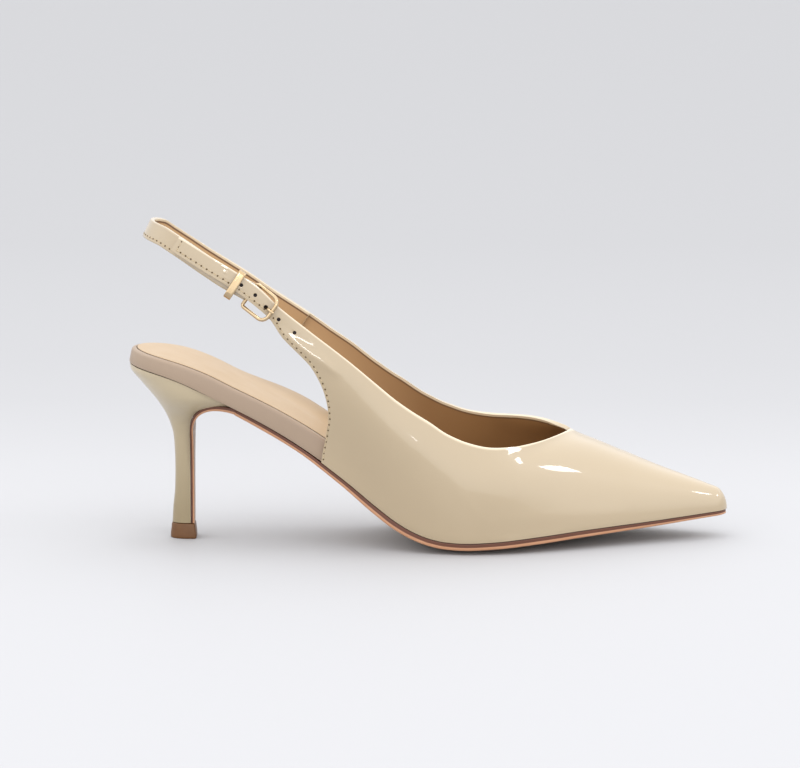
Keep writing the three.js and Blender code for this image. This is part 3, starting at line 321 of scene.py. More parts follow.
class Finish:
    # a material with its shader and a short way to add nodes
    def __init__(self, name):
        self.material = bpy.data.materials.new(name)
        self.material.use_nodes = True
        self.tree = self.material.node_tree
        self.shader = self.tree.nodes["Principled BSDF"]
        self.place = self.tree.nodes.new("ShaderNodeTexCoord").outputs["Object"]

    def node(self, kind, **values):
        made = self.tree.nodes.new(kind)
        for key, value in values.items():
            setattr(made, key, value)
        return made

    def link(self, source, target):
        self.tree.links.new(source, target)

    def noise(self, scale, detail, stretch=None):
        grain = self.node("ShaderNodeTexNoise")
        grain.inputs["Scale"].default_value = scale
        grain.inputs["Detail"].default_value = detail
        place = self.place
        if stretch:
            turn = self.node("ShaderNodeMapping")
            turn.inputs["Scale"].default_value = stretch
            self.link(place, turn.inputs["Vector"])
            place = turn.outputs["Vector"]
        self.link(place, grain.inputs["Vector"])
        return grain.outputs["Fac"]

    def ramp(self, source, stops):
        ramp = self.node("ShaderNodeValToRGB")
        for i, (place, colour) in enumerate(stops):
            stop = ramp.color_ramp.elements[i] if i < 2 else ramp.color_ramp.elements.new(place)
            stop.position = place
            stop.color = colour
        self.link(source, ramp.inputs["Fac"])
        return ramp.outputs["Color"]

    def mix(self, share, first, second):
        mixer = self.node("ShaderNodeMix", data_type="RGBA")   # its colours are sockets 6 and 7
        for value, socket in ((share, mixer.inputs[0]), (first, mixer.inputs[6]),
                              (second, mixer.inputs[7])):
            if isinstance(value, (float, int, tuple)):
                socket.default_value = value
            else:
                self.link(value, socket)
        return mixer.outputs[2]

    def remap(self, source, low, high, toLow, toHigh):
        mapped = self.node("ShaderNodeMapRange")
        for key, value in (("From Min", low), ("From Max", high), ("To Min", toLow),
                           ("To Max", toHigh)):
            mapped.inputs[key].default_value = value
        self.link(source, mapped.inputs["Value"])
        return mapped.outputs["Result"]

    def attribute(self, name):
        return self.node("ShaderNodeAttribute", attribute_name=name).outputs["Fac"]

    def axis(self, name):
        parts = self.node("ShaderNodeSeparateXYZ")
        self.link(self.place, parts.inputs["Vector"])
        return parts.outputs[name]

    def colour(self, source):
        self.link(source, self.shader.inputs["Base Color"])

    def rough(self, source, low, high):
        # the middle of a noise spread over a range of roughness
        self.link(self.remap(source, 0.3, 0.7, low, high), self.shader.inputs["Roughness"])

    def bump(self, height, strength, distance, under=None):
        lifted = self.node("ShaderNodeBump")
        lifted.inputs["Strength"].default_value = strength
        lifted.inputs["Distance"].default_value = distance * mm
        self.link(height, lifted.inputs["Height"])
        if under:
            self.link(under, lifted.inputs["Normal"])
        self.link(lifted.outputs["Normal"], self.shader.inputs["Normal"])
        return lifted.outputs["Normal"]

    def set(self, **values):
        for key, value in values.items():
            self.shader.inputs[key.replace("_", " ")].default_value = value


patent = {
    "light": tint(173, 154, 124),
    "deep": tint(168, 149, 119),
    # painted highlight: the pale band along the top line, where the turned edge would catch the light
    "fold": tint(228, 212, 184),
    # painted highlight: the rim faces are a lighter copy of the patent, as if catching the light
    "rimHighlightPale": tint(196, 178, 146),
    "rimHighlightDeep": tint(188, 169, 138),
    "roughness": (0.38, 0.42),
    "coat": 1.0,
    "coatRoughness": 0.045,
    "coatIor": 1.6,
}


def patentLeather(name, light, deep, folded=True):
    finish = Finish(name)
    colour = finish.mix(finish.noise(18, 2), deep, light)
    if folded:
        # folded adds a painted highlight, the pale fold colour laid along the top line
        fold = finish.remap(finish.attribute("rimHighlightShare"), 0.3, 0.9, 0, 1)
        colour = finish.mix(fold, colour, patent["fold"])
    finish.colour(colour)
    finish.rough(finish.noise(240, 2), *patent["roughness"])
    swell = finish.bump(finish.noise(60, 1), 0.3, 0.25)
    finish.bump(finish.noise(1400, 2), 0.03, 0.02, swell)
    finish.set(Coat_Weight=patent["coat"], Coat_Roughness=patent["coatRoughness"],
               Coat_IOR=patent["coatIor"])
    return finish.material


heelLook = {
    "light": tint(188, 173, 144),
    "deep": tint(181, 165, 136),
    # painted shade: the heel darkens down towards its tip
    "foot": tint(143, 127, 97),     # down at the heel's tip
    "roughness": 0.34,
    "pores": 700,
    "grain": 0.06,
    "gloss": 0.35,
}
randLook = {
    "light": tint(159, 139, 119),
    "deep": tint(151, 130, 111),
    "roughness": 0.42,
    "pores": 800,
    "grain": 0.12,
}
sockLook = {
    "light": tint(187, 163, 133),
    "deep": tint(178, 153, 122),
    "line": tint(70, 46, 30),       # painted shade of the groove at the sock's edge and towards its inner side
    "roughness": 0.5,
    "pores": 900,
    "grain": 0.1,
}


def softLeather(name, look):
    finish = Finish(name)
    colour = finish.mix(finish.noise(30, 4), look["deep"], look["light"])
    if "foot" in look:
        # painted shade, darker down towards the heel's tip
        colour = finish.mix(finish.remap(finish.axis("Z"), 0.01, 0.065, 0, 1), look["foot"], colour)
    if "line" in look:
        # painted shade of the groove and the sock's inner side, laid on by the attribute's share
        colour = finish.mix(finish.attribute("grooveAndSockShade"), colour, look["line"])
    finish.colour(colour)
    pores = finish.node("ShaderNodeTexVoronoi")
    pores.inputs["Scale"].default_value = look["pores"]
    finish.link(finish.place, pores.inputs["Vector"])
    finish.rough(finish.noise(80, 3), look["roughness"] * 0.88, look["roughness"] * 1.12)
    fine = finish.bump(pores.outputs["Distance"], look["grain"], 0.12)
    finish.bump(finish.noise(look["pores"] * 2.2, 3), look["grain"] * 0.6, 0.05, fine)
    if "gloss" in look:
        finish.set(Coat_Weight=look["gloss"], Coat_Roughness=0.18)
    return finish.material


lining = {
    # the lining's tones are darkened as painted shade of the inside of the shoe
    "light": tint(142, 103, 61),
    "deep": tint(130, 92, 53),
    # paler lining on the strap, where the painted shade of the inside stops
    "strap": tint(184, 148, 106),
    # painted shade of the groove under the turned rim
    "line": tint(104, 72, 44),
    # turned patent rim, painted lighter as a highlight
    "rim": tint(200, 180, 150),
}


def liningLeather(name):
    # folded patent rim painted lighter as a highlight, a dark line painted as the shade of the groove below
    # it, then the lining, darkened as painted shade inside the shoe and paler towards the strap where that
    # shade stops
    finish = Finish(name)
    inside = finish.mix(finish.noise(45, 4), lining["deep"], lining["light"])
    # painted light: paler towards the back and the strap, darker as painted shade further into the shoe
    inside = finish.mix(finish.remap(finish.axis("X"), -0.07, 0.0, 1, 0), inside, lining["strap"])
    share = finish.remap(finish.attribute("edgeGap"), 0, 10, 0, 1)
    rim = finish.ramp(share, [(0.0, black), (0.085, black), (0.1, white)])
    line = finish.ramp(share, [(0.0, black), (0.085, black), (0.1, white), (0.15, white), (0.17, black)])
    finish.colour(finish.mix(rim, lining["rim"], finish.mix(line, inside, lining["line"])))
    finish.set(Roughness=0.55)
    pores = finish.bump(finish.noise(1500, 4), 0.2, 0.06)
    finish.bump(finish.noise(260, 2), 0.1, 0.2, pores)
    return finish.material


def goldMetal(name, deep, light):
    finish = Finish(name)
    finish.colour(finish.mix(finish.noise(120, 2), deep, light))
    finish.rough(finish.noise(1600, 2, (1, 1, 8)), 0.1, 0.2)
    finish.bump(finish.noise(700, 2), 0.06, 0.05)
    finish.set(Metallic=1.0)
    return finish.material


sole = {
    "bare": (tint(174, 122, 88), tint(194, 147, 113)),
    # dark edge ink, darkened further as painted shade of the gap under the upper
    "stainAndShade": (tint(82, 42, 24), tint(100, 56, 34)),
    "tread": tint(166, 144, 122),
}


def soleEdge(name):
    # stained dark under the upper, partly edge ink and partly painted shade of the gap under the upper;
    # bare tan below; the tread is bare too
    finish = Finish(name)
    down = finish.attribute("downShare")
    fibre = finish.noise(300, 5, (0.25, 0.25, 2.5))
    wobble = finish.node("ShaderNodeMath", operation="MULTIPLY_ADD")
    finish.link(finish.noise(120, 2), wobble.inputs[0])
    wobble.inputs[1].default_value = 0.08
    finish.link(down, wobble.inputs[2])
    stainedAndShaded = finish.ramp(wobble.outputs[0], [(0.0, white), (0.53, white), (0.6, black)])
    side = finish.mix(stainedAndShaded, finish.mix(fibre, *sole["bare"]), finish.mix(fibre, *sole["stainAndShade"]))
    finish.colour(finish.mix(finish.remap(down, 1.0, 1.15, 0, 1), side, sole["tread"]))
    finish.rough(fibre, 0.38, 0.52)
    finish.bump(finish.noise(900, 4, (0.5, 0.5, 2)), 0.2, 0.06)
    return finish.material


def rubberFinish(name, deep, light):
    finish = Finish(name)
    finish.colour(finish.mix(finish.noise(400, 3), deep, light))
    finish.rough(finish.noise(250, 2), 0.42, 0.55)
    finish.bump(finish.noise(2200, 3), 0.25, 0.05)
    return finish.material


def threadFinish(name, deep, light):
    finish = Finish(name)
    twist = finish.node("ShaderNodeTexWave", wave_type="BANDS", bands_direction="DIAGONAL")
    twist.inputs["Scale"].default_value = 900
    finish.link(finish.place, twist.inputs["Vector"])
    finish.colour(finish.mix(twist.outputs["Fac"], deep, light))
    finish.set(Roughness=0.6)
    finish.bump(twist.outputs["Fac"], 0.3, 0.04)
    return finish.material


def holeFinish(name, deep, light):
    finish = Finish(name)
    finish.colour(finish.mix(finish.noise(900, 2), deep, light))
    finish.set(Roughness=0.9, Specular_IOR_Level=0.1)
    finish.bump(finish.noise(2500, 2), 0.2, 0.04)
    return finish.material


smallLooks = {
    "rubber": (tint(90, 55, 20), tint(106, 67, 27)),
    "gold": (tint(172, 146, 110), tint(212, 190, 156)),
    "thread": (tint(166, 144, 108), tint(194, 176, 143)),
    # dark needle holes: painted shade in the holes
    "needle": (tint(86, 70, 48), tint(106, 88, 62)),
    # dark walls and floors of the punched holes: painted shade in the holes
    "punch": (tint(66, 60, 62), tint(84, 76, 76)),
}

upperPatent = patentLeather("upperPatent", patent["light"], patent["deep"])
# the rim faces get the lighter copy of the patent, a painted highlight
rimHighlightPatent = patentLeather("rimHighlightPatent", patent["rimHighlightPale"], patent["rimHighlightDeep"], folded=False)
upperLining = liningLeather("upperLining")
heelLeather = softLeather("heelLeather", heelLook)
randLeather = softLeather("randLeather", randLook)
sockLeather = softLeather("sockLeather", sockLook)
soleLeather = soleEdge("soleLeather")
topRubber = rubberFinish("topRubber", *smallLooks["rubber"])
paleGold = goldMetal("paleGold", *smallLooks["gold"])
nudeThread = threadFinish("nudeThread", *smallLooks["thread"])
needleHoleShade = holeFinish("needleHoleShade", *smallLooks["needle"])
punchedLeather = holeFinish("punchedLeather", *smallLooks["punch"])
print("materials ready")

# Upper
upper = {
    "lateralAnkle": 28.0,
    "medialAnkle": 26.5,
    "ankleLength": 34.4,
    "ankleBack": 5.6,
    "meeting": 0.56,          # where the columns of the grid stand upright again
    "foldPlace": 0.735,
    "foldReach": 0.13,
    "foldSoftness": 0.7,
    "foldRounds": 10,
    "throatReach": 22.0,
    "throatFloor": 16.0,
    "throatRounds": 12,
    "refine": 3,
    "across": 26,
    "edgeRound": 0.5,
    # how far below the top line the painted highlight reaches
    "highlightBand": 1.1,
}
# at on the lower edge, at on the top line, half width there, wall, lean in degrees, fullness
lateralRows = [
    (0.060, 0.060, 0.389, 1.590, 12, 0.34), (0.094, 0.094, 0.389, 1.590, 11, 0.34),
    (0.141, 0.141, 0.389, 1.538, 10, 0.34), (0.197, 0.197, 0.396, 1.492, 9, 0.34),
    (0.220, 0.220, 0.404, 1.470, 9, 0.34), (0.258, 0.258, 0.416, 1.386, 8, 0.34),
    (0.287, 0.287, 0.422, 1.360, 12, 0.34), (0.321, 0.321, 0.430, 1.346, 17, 0.34),
    (0.387, 0.387, 0.444, 1.346, 20, 0.36), (0.451, 0.451, 0.460, 1.314, 21, 0.38),
    (0.492, 0.492, 0.472, 1.265, 22, 0.40), (0.533, 0.533, 0.480, 1.143, 23, 0.41),
    (0.563, 0.565, 0.474, 1.062, 25, 0.42), (0.592, 0.597, 0.452, 1.005, 29, 0.43),
    (0.613, 0.622, 0.416, 0.984, 35, 0.44), (0.635, 0.648, 0.360, 0.970, 43, 0.46),
    (0.660, 0.680, 0.268, 0.973, 57, 0.50), (0.685, 0.711, 0.142, 0.986, 73, 0.53),
    (0.710, 0.729, 0.040, 0.995, 84, 0.55), (0.735, 0.736, -0.036, 0.992, 90, 0.55),
]
medialRows = [
    (0.200, 0.200, 0.370, 1.330, 8, 0.34), (0.219, 0.219, 0.372, 1.327, 8, 0.34),
    (0.273, 0.273, 0.374, 1.318, 7, 0.34), (0.327, 0.327, 0.376, 1.320, 6, 0.34),
    (0.381, 0.381, 0.384, 1.345, 6, 0.34), (0.449, 0.449, 0.405, 1.350, 6, 0.34),
    (0.492, 0.492, 0.426, 1.290, 7, 0.35), (0.536, 0.536, 0.444, 1.200, 9, 0.36),
    (0.567, 0.571, 0.448, 1.132, 13, 0.38), (0.594, 0.602, 0.436, 1.100, 20, 0.40),
    (0.615, 0.634, 0.404, 1.083, 30, 0.43), (0.635, 0.666, 0.343, 1.073, 42, 0.46),
    (0.660, 0.693, 0.262, 1.055, 57, 0.50), (0.685, 0.717, 0.152, 1.027, 73, 0.53),
    (0.710, 0.731, 0.085, 1.003, 84, 0.55), (0.735, 0.736, 0.036, 0.992, 90, 0.55),
]
ridgeRows = [
    (0.735, 0.736, 0.036, 0.992, 90, 0.55), (0.760, 0.760, 0.039, 0.922, 90, 0.58),
    (0.784, 0.784, 0.043, 0.849, 90, 0.60), (0.811, 0.811, 0.047, 0.755, 90, 0.61),
    (0.851, 0.851, 0.054, 0.630, 90, 0.62), (0.891, 0.891, 0.061, 0.508, 90, 0.62),
    (0.932, 0.932, 0.068, 0.390, 90, 0.62), (0.958, 0.958, 0.072, 0.314, 90, 0.60),
    (0.979, 0.979, 0.073, 0.252, 90, 0.58), (1.000, 1.000, 0.073, 0.200, 90, 0.55),
]
# free rear edge: at, wall, at on the top line
lateralRearRows = [
    (0.242, 1.190, 0.262), (0.260, 1.085, 0.280), (0.284, 1.030, 0.300), (0.304, 0.985, 0.318),
    (0.318, 0.900, 0.336), (0.328, 0.790, 0.353), (0.333, 0.655, 0.369), (0.334, 0.530, 0.384),
    (0.331, 0.385, 0.399), (0.328, 0.255, 0.414), (0.324, 0.110, 0.429), (0.322, 0.000, 0.444),
]
medialRearRows = [
    (0.222, 1.085, 0.236), (0.245, 1.070, 0.262), (0.270, 1.045, 0.288), (0.296, 1.000, 0.314),
    (0.316, 0.930, 0.336), (0.331, 0.820, 0.356), (0.339, 0.670, 0.374), (0.341, 0.530, 0.390),
    (0.339, 0.385, 0.405), (0.335, 0.255, 0.420), (0.331, 0.110, 0.434), (0.329, 0.000, 0.447),
]
# at, how far the wall bows out low down
bellyRows = [(0.26, 0.0), (0.32, 1.2), (0.40, 2.6), (0.48, 2.4), (0.56, 1.4), (0.66, 0.8), (0.76, 0.6),
             (1.00, 0.3)]
# at, height of that bow
lowRows = [(0.00, 0.42), (0.50, 0.42), (0.70, 0.50), (1.00, 0.56)]
tongue = {"tip": 20.2, "root": 58.5, "width": 7.8}
# at, wall at the middle, half width in tongue widths
tongueRows = [
    (0.080, 1.515, 0.410), (0.094, 1.491, 0.410), (0.141, 1.438, 0.415), (0.197, 1.390, 0.430),
    (0.220, 1.363, 0.440), (0.240, 1.332, 0.445), (0.259, 1.300, 0.470),
]
ankleCentre = upper["ankleBack"] + upper["ankleLength"]
throatAt = ridgeRows[0][0]
bellyOut = track(bellyRows, 1)
lowShare = track(lowRows, 1)


def wallSide(rows, side, ankleWidth):
    ridge = [(row[0], row[1], row[2] * side, *row[3:]) for row in ridgeRows]
    behind = [track(rows, column) for column in range(1, 6)]
    ahead = [track(ridge, column) for column in range(1, 6)]

    def read(column, at):
        return behind[column](at) if at < throatAt else ahead[column](at)

    def outAt(at):
        x = at * shoeLength
        if x >= ankleCentre:
            return last["ballWidth"] * read(1, at)
        reach = (ankleCentre - x) / upper["ankleLength"]
        return ankleWidth * math.sqrt(max(1 - reach * reach, 0))

    def point(at, u):
        tip = quarterRound((1 - at) * shoeLength, last["toeRound"])
        topAt = read(0, at)
        foot = Vector((at * shoeLength, middleOf(at) + side * upperHalf(at), edgeHeight(at)))
        wall = last["instepHeight"] * read(2, at) * tip
        top = Vector((topAt * shoeLength, side * outAt(at), edgeHeight(topAt) + wall))
        lean = math.radians(read(3, at))
        width, rise = abs(foot.y - top.y), top.z - foot.z
        reach = read(4, at) * (math.sin(lean) * width + math.cos(lean) * rise)
        low = Vector((lerp(foot.x, top.x, 0.3), foot.y + side * bellyOut(at),
                      foot.z + rise * lowShare(at)))
        high = Vector((lerp(foot.x, top.x, 0.8), top.y + side * math.sin(lean) * reach,
                       top.z - math.cos(lean) * reach))
        return bezier(foot, low, high, top, u)

    def shareAt(at, height):
        target = edgeHeight(at) + height
        return turnover(0.0, 1.0, lambda u: point(at, u).z < target)

    return point, shareAt, outAt


lateralPoint, lateralShare, lateralOut = wallSide(lateralRows, -1, upper["lateralAnkle"])
medialPoint, medialShare, medialOut = wallSide(medialRows, 1, upper["medialAnkle"])
tongueWall = track(tongueRows, 1)
tongueHalf = track(tongueRows, 2)


def tongueMiddle(x):
    def height(place):
        at = place / shoeLength
        return edgeHeight(at) + last["instepHeight"] * tongueWall(at)
    along = Vector((1, height(x + 0.5) - height(x - 0.5))).normalized()
    return Vector((x, height(x))), Vector((-along.y, along.x)), tongue["width"] * tongueHalf(x / shoeLength)


def lateralUnder(x, z):
    at = x / shoeLength
    return at, lateralShare(at, z - edgeHeight(at))


def sideColumns(rearRows, shareAt, withTongue):
    # each column joins a place on the lower edge to one on the top line, as (at, u, at, u)
    columns = []
    if withTongue:
        for x in spread(tongue["tip"], tongue["root"], 15):
            place, across, half = tongueMiddle(x)
            below = lateralUnder(*(place - across * half))
            above = lateralUnder(*(place + across * half))
            columns.append((*below, *above))
    free = len(columns) + len(rearRows)
    for at, wall, top in rearRows:
        low = shareAt(at, last["instepHeight"] * wall) if wall > 0 else 0.0
        columns.append((at, low, top, 1.0))
    lastRear, meeting = rearRows[-1], upper["meeting"]
    for at in spread(lastRear[0], meeting, 11)[1:]:
        share = (at - lastRear[0]) / (meeting - lastRear[0])
        columns.append((at, 0.0, lerp(lastRear[2], meeting, share), 1.0))
    front = spread(meeting, throatAt, 14)[1:] + spread(throatAt, 0.94, 11)[1:] + crowded(0.88, 1, 16)[9:]
    columns += [(at, 0.0, at, 1.0) for at in front]
    return columns, free


# Soft folds of the lateral side, as seen from the side: from and to (x, z), width, outward height
creaseRows = [
    (63.5, 86.5, 81.0, 73.5, 2.0, 0.75), (77.0, 79.0, 83.5, 72.0, 1.6, 0.38),
    (131.0, 28.0, 141.0, 15.0, 2.6, 0.14), (143.0, 13.5, 168.0, 15.5, 2.4, 0.10),
    (96.0, 58.0, 128.0, 33.0, 4.0, 0.12),
    (161.0, 40.5, 166.5, 35.5, 1.7, 0.16), (166.0, 36.0, 188.0, 28.0, 2.2, 0.14),
    (168.0, 31.5, 182.0, 27.0, 2.4, -0.12), (118.0, 38.0, 134.0, 20.0, 7.0, -0.16),
    (138.0, 34.0, 146.0, 16.0, 6.0, 0.12), (96.0, 58.0, 112.0, 40.0, 7.0, 0.14),
]


def creased(grid):
    # lays the folds into the outer side, each fading towards its ends
    for fromX, fromZ, toX, toZ, width, height in creaseRows:
        start, run = np.array([fromX, fromZ]), np.array([toX - fromX, toZ - fromZ])
        spots = grid[..., [0, 2]] - start
        share = np.clip((spots * run).sum(-1) / (run * run).sum(), -0.3, 1.3)
        away = np.linalg.norm(spots - share[..., None] * run, axis=-1)
        fade = np.clip(1 - (2 * share - 1) ** 2 / 2.2, 0, 1)
        grid[..., 1] -= height * fade * np.exp(-(away / width) ** 2)
    return grid


def refined(columns, times):
    rows = [(i, *column) for i, column in enumerate(columns)]
    reads = [track(rows, k) for k in range(1, 5)]
    steps = (len(columns) - 1) * times
    return [[read(i / times) for read in reads] for i in range(steps + 1)]


def sideGrid(point, columns, free):
    fine = refined(columns, upper["refine"])
    rows = upper["across"]
    grid = np.array([[point(lerp(c[0], c[2], r / rows), lerp(c[1], c[3], r / rows))
                      for r in range(rows + 1)] for c in fine])
    near = 1 - np.abs(grid[:, 0, 0] / shoeLength - upper["foldPlace"]) / upper["foldReach"]
    weight = upper["foldSoftness"] * np.clip(near * 2, 0, 1)[1:-1, None, None]
    for _ in range(upper["foldRounds"] * upper["refine"] ** 2):   # the fold under the throat is softened
        inner = grid[1:-1, 1:-1]
        inner += (0.5 * (grid[:-2, 1:-1] + grid[2:, 1:-1]) - inner) * weight
    return grid, (free - 1) * upper["refine"] + 1


lateralColumns, lateralFree = sideColumns(lateralRearRows, lateralShare, True)
medialColumns, medialFree = sideColumns(medialRearRows, medialShare, False)
lateralGrid, lateralFree = sideGrid(lateralPoint, lateralColumns, lateralFree)
medialGrid, medialFree = sideGrid(medialPoint, medialColumns, medialFree)
lateralGrid = creased(lateralGrid)


def freeEdge(grid, free):
    # points of the rim that no other piece covers: tip, lower edge of strap and wing, top line
    tops = [grid[c, -1] for c in range(len(grid)) if grid[c, 0, 0] / shoeLength < throatAt]
    return [*grid[0], *[grid[c, 0] for c in range(free)], *tops]


rimTree = treeOf(freeEdge(lateralGrid, lateralFree) + freeEdge(medialGrid, medialFree))


def edgeGaps(grid):
    return [[rimTree.find(spot)[2] for spot in column] for column in grid]


def rimHighlightShares(grid):
    # painted highlight share: 1 on the top line, where the turned edge catches the light, down to 0 a
    # little below it
    shares = np.zeros(grid.shape[:2])
    tops = grid[:, 0, 0] / shoeLength < throatAt
    depth = np.linalg.norm(grid - grid[:, -1:], axis=2)
    shares[tops] = np.clip(1 - depth[tops] / upper["highlightBand"], 0, 1)
    return shares.tolist()


def insideShoe(centre):
    x = centre.x / mm - last["origin"][0]
    at = min(max(x / shoeLength, 0), 1)
    return Vector((centre.x, last["origin"][1] * mm, (edgeHeight(at) + 8) * mm))


def makeUpper():
    bm, medial = [sheetOf(grid, {"edgeGap": edgeGaps(grid), "rimHighlightShare": rimHighlightShares(grid)})
                  for grid in (lateralGrid, medialGrid)]
    addTo(bm, medial)
    weld(bm)
    bmesh.ops.dissolve_degenerate(bm, dist=sliver, edges=bm.edges)
    throatX = (throatAt * shoeLength + last["origin"][0]) * mm
    near = [vert for vert in bm.verts if abs(vert.co.x - throatX) < upper["throatReach"] * mm
            and not vert.is_boundary and vert.co.z > upper["throatFloor"] * mm]
    for _ in range(upper["throatRounds"]):
        bmesh.ops.smooth_vert(bm, verts=near, factor=0.5, use_axis_x=True, use_axis_y=True,
                              use_axis_z=True)
    turnOut(bm, insideShoe)
    return makePiece("upperShell", bm, [upperPatent, upperLining, rimHighlightPatent], ["upper"],
                     closed=False)


def tongueAxes(x):
    def on(place, lift):
        middle, across, _ = tongueMiddle(place)
        return lateralPoint(*lateralUnder(*(middle + across * lift)))
    origin = on(x, 0)
    forward = (on(x + 1, 0) - on(x - 1, 0)).normalized()
    across = (on(x, 1) - on(x, -1)).normalized()
    out = forward.cross(across).normalized()
    if out.y > 0:
        out.negate()
    across = out.cross(forward).normalized()
    if across.z < 0:
        across.negate()
    return origin, forward, across, out


def placeOn(axes, f, w, n):
    origin, forward, across, out = axes
    return origin + forward * f + across * w + out * n


buckle = {
    "at": 50.2,
    "length": 11.2,
    "width": 10.7,
    "rod": 0.75,
    "prong": 0.5,
    "eye": 0.8,
    "drop": 1.4,
    "frontRound": 3.0,
    "rearRound": 1.1,
    "loopLeather": 1.0,
    "holeRadius": 0.75,
    "holePitch": 7.0,
    "holeDepth": 1.1,
    "punchLength": 4.0,
    "slotPlace": 0.735,
    "slotShare": 1.2,
}
# holes ahead of the buckle's bar and below the tongue's middle, in pitches
holeRows = [(-0.54, 0.00), (0.24, 0.00), (1.68, 0.20), (2.62, 0.32)]
buckleAxes = tongueAxes(buckle["at"])
barDepth = last["upperWall"] + clearance * 2 + buckle["loopLeather"] + buckle["rod"]
frontLift = clearance + buckle["rod"]
loopRadius = buckle["rod"] + clearance + buckle["loopLeather"]


def punchUpper(piece):
    # five round holes, the third one drawn long by the prong
    radius, reach = buckle["holeRadius"], buckle["punchLength"]
    spots = [(buckleAxes, buckle["length"] * buckle["slotPlace"], -buckle["drop"],
              radius * buckle["slotShare"], radius + clearance / 2)]
    for ahead, drop in holeRows:
        axes = tongueAxes(buckle["at"] + buckle["holePitch"] * ahead)
        spots.append((axes, 0, -buckle["holePitch"] * drop, radius, radius))
    bm = bmesh.new()
    for axes, f, w, long, wide in spots:
        origin, forward, across, out = axes
        turn = Matrix((forward, across, out)).transposed().to_4x4()
        turn.translation = toFrame(placeOn(axes, f, w, reach / 2 - buckle["holeDepth"]))
        size = Matrix.Diagonal((long * mm, wide * mm, 1, 1))
        bmesh.ops.create_cone(bm, cap_ends=True, segments=28, radius1=1, radius2=1, depth=reach * mm,
                              matrix=turn @ size)
    bmesh.ops.recalc_face_normals(bm, faces=bm.faces)
    punches = toScene("punches", toMesh("punches", bm))
    # the cut walls take the dark punch colour, painted shade in the blind holes
    punches.data.materials.append(punchedLeather)
    cut = piece.modifiers.new("Holes", "BOOLEAN")
    cut.operation = "DIFFERENCE"
    cut.object = punches
    cut.solver = "EXACT"
    cut.material_mode = "TRANSFER"
    bakeModifiers(piece)
    bpy.data.objects.remove(punches)


upperShell = makeUpper()
addSolidify(upperShell, last["upperWall"], -1, 1, 2)
punchUpper(upperShell)
addBevel(upperShell, upper["edgeRound"], 3, 55)
print("upper shaped")


# Stitches: thread beads between needle holes, along a line on the leather

def stepsAlong(points, pitch, start):
    # spots at equal steps on a line of points, each with its direction
    spots = []
    left = start
    for a, b in zip(points, points[1:]):
        step = (b - a).length
        if step == 0:
            continue
        while left <= step:
            spots.append((a.lerp(b, left / step), (b - a).normalized()))
            left += pitch
        left -= step
    return spots


def insetLine(grid, columns, gap):
    # the line a set distance in from the lower edge of a grid
    line = []
    for c in columns:
        gone = 0.0
        for a, b in zip(grid[c], grid[c][1:]):
            step = float(np.linalg.norm(b - a))
            if gone + step >= gap:
                spot = a + (b - a) * ((gap - gone) / step)
                break
            gone += step
        line.append(Vector(spot))
    return line


stitch = {
    "pitch": 2.5,
    "start": 0.6,
    "bead": (1.6, 0.45, 0.16),
    "hole": (0.84, 0.84, 0.12),
    "lift": 0.02,
    "inset": 1.4,
}


def addBead(bm, spot, direction, normal, sizes, index):
    side = normal.cross(direction).normalized()
    lift = direction.cross(side).normalized()
    turn = Matrix((direction, side, lift)).transposed().to_4x4()
    turn.translation = toFrame(spot)
    size = Matrix.Diagonal((*(value * mm for value in sizes), 1))
    made = bmesh.ops.create_uvsphere(bm, u_segments=8, v_segments=5, radius=0.5, matrix=turn @ size)
    for vert in made["verts"]:
        for face in vert.link_faces:
            face.material_index = index


def sewLine(bm, points, normalAt):
    for spot, direction in stepsAlong(points, stitch["pitch"], stitch["start"]):
        normal = normalAt(spot)
        lift = normal * stitch["lift"]
        addBead(bm, spot + lift, direction, normal, stitch["bead"], 0)
        hole = spot + direction * stitch["pitch"] / 2
        # the hole bead is dark, painted shade of the needle hole
        addBead(bm, hole - lift, direction, normal, stitch["hole"], 1)


def gridNormal(grid, side):
    # outward directions along the lower edge of a grid
    rows = 6
    tree = treeOf(grid[:, :rows].reshape(-1, 3))

    def read(spot):
        c, r = divmod(tree.find(spot)[1], rows)
        c = min(max(c, 1), len(grid) - 2)
        r = max(r, 1)
        a = Vector(grid[c + 1, r] - grid[c - 1, r])
        b = Vector(grid[c, r + 1] - grid[c, r - 1])
        normal = a.cross(b).normalized()
        return normal if normal.y * side > 0 else -normal

    return read


def sewUpper():
    bm = bmesh.new()
    first = 2   # the column of the grid across the tip of the tongue
    sewLine(bm, insetLine(lateralGrid, range(first, lateralFree), stitch["inset"]),
            gridNormal(lateralGrid, -1))
    sewLine(bm, [Vector(lateralGrid[first][r]) for r in range(4, upper["across"] - 1)],
            lambda spot: buckleAxes[3])
    sewLine(bm, insetLine(medialGrid, range(first, medialFree), stitch["inset"]),
            gridNormal(medialGrid, 1))
    makePiece("wingStitches", bm, [nudeThread, needleHoleShade], [])


sewUpper()
print("wings stitched")

# Sling strap
sling = {
    "width": 7.8,
    "thickness": 1.8,
    "rise": 56.0,
    "backLean": 26.0,
    "sideLean": 9.0,
    "frontEnd": 70.0,
    "across": 10,
    "edgeRound": 0.45,
}
# at, height over the lower edge in sling rises
slingLateralRows = [
    (0.030, 1.014), (0.058, 1.007), (0.081, 0.982), (0.116, 0.946), (0.141, 0.923),
    (0.172, 0.900), (0.208, 0.896),
]
slingMedialRows = [
    (0.030, 1.014), (0.050, 1.002), (0.066, 0.964), (0.087, 0.921), (0.126, 0.868),
    (0.192, 0.823), (0.246, 0.793), (0.300, 0.790),
]


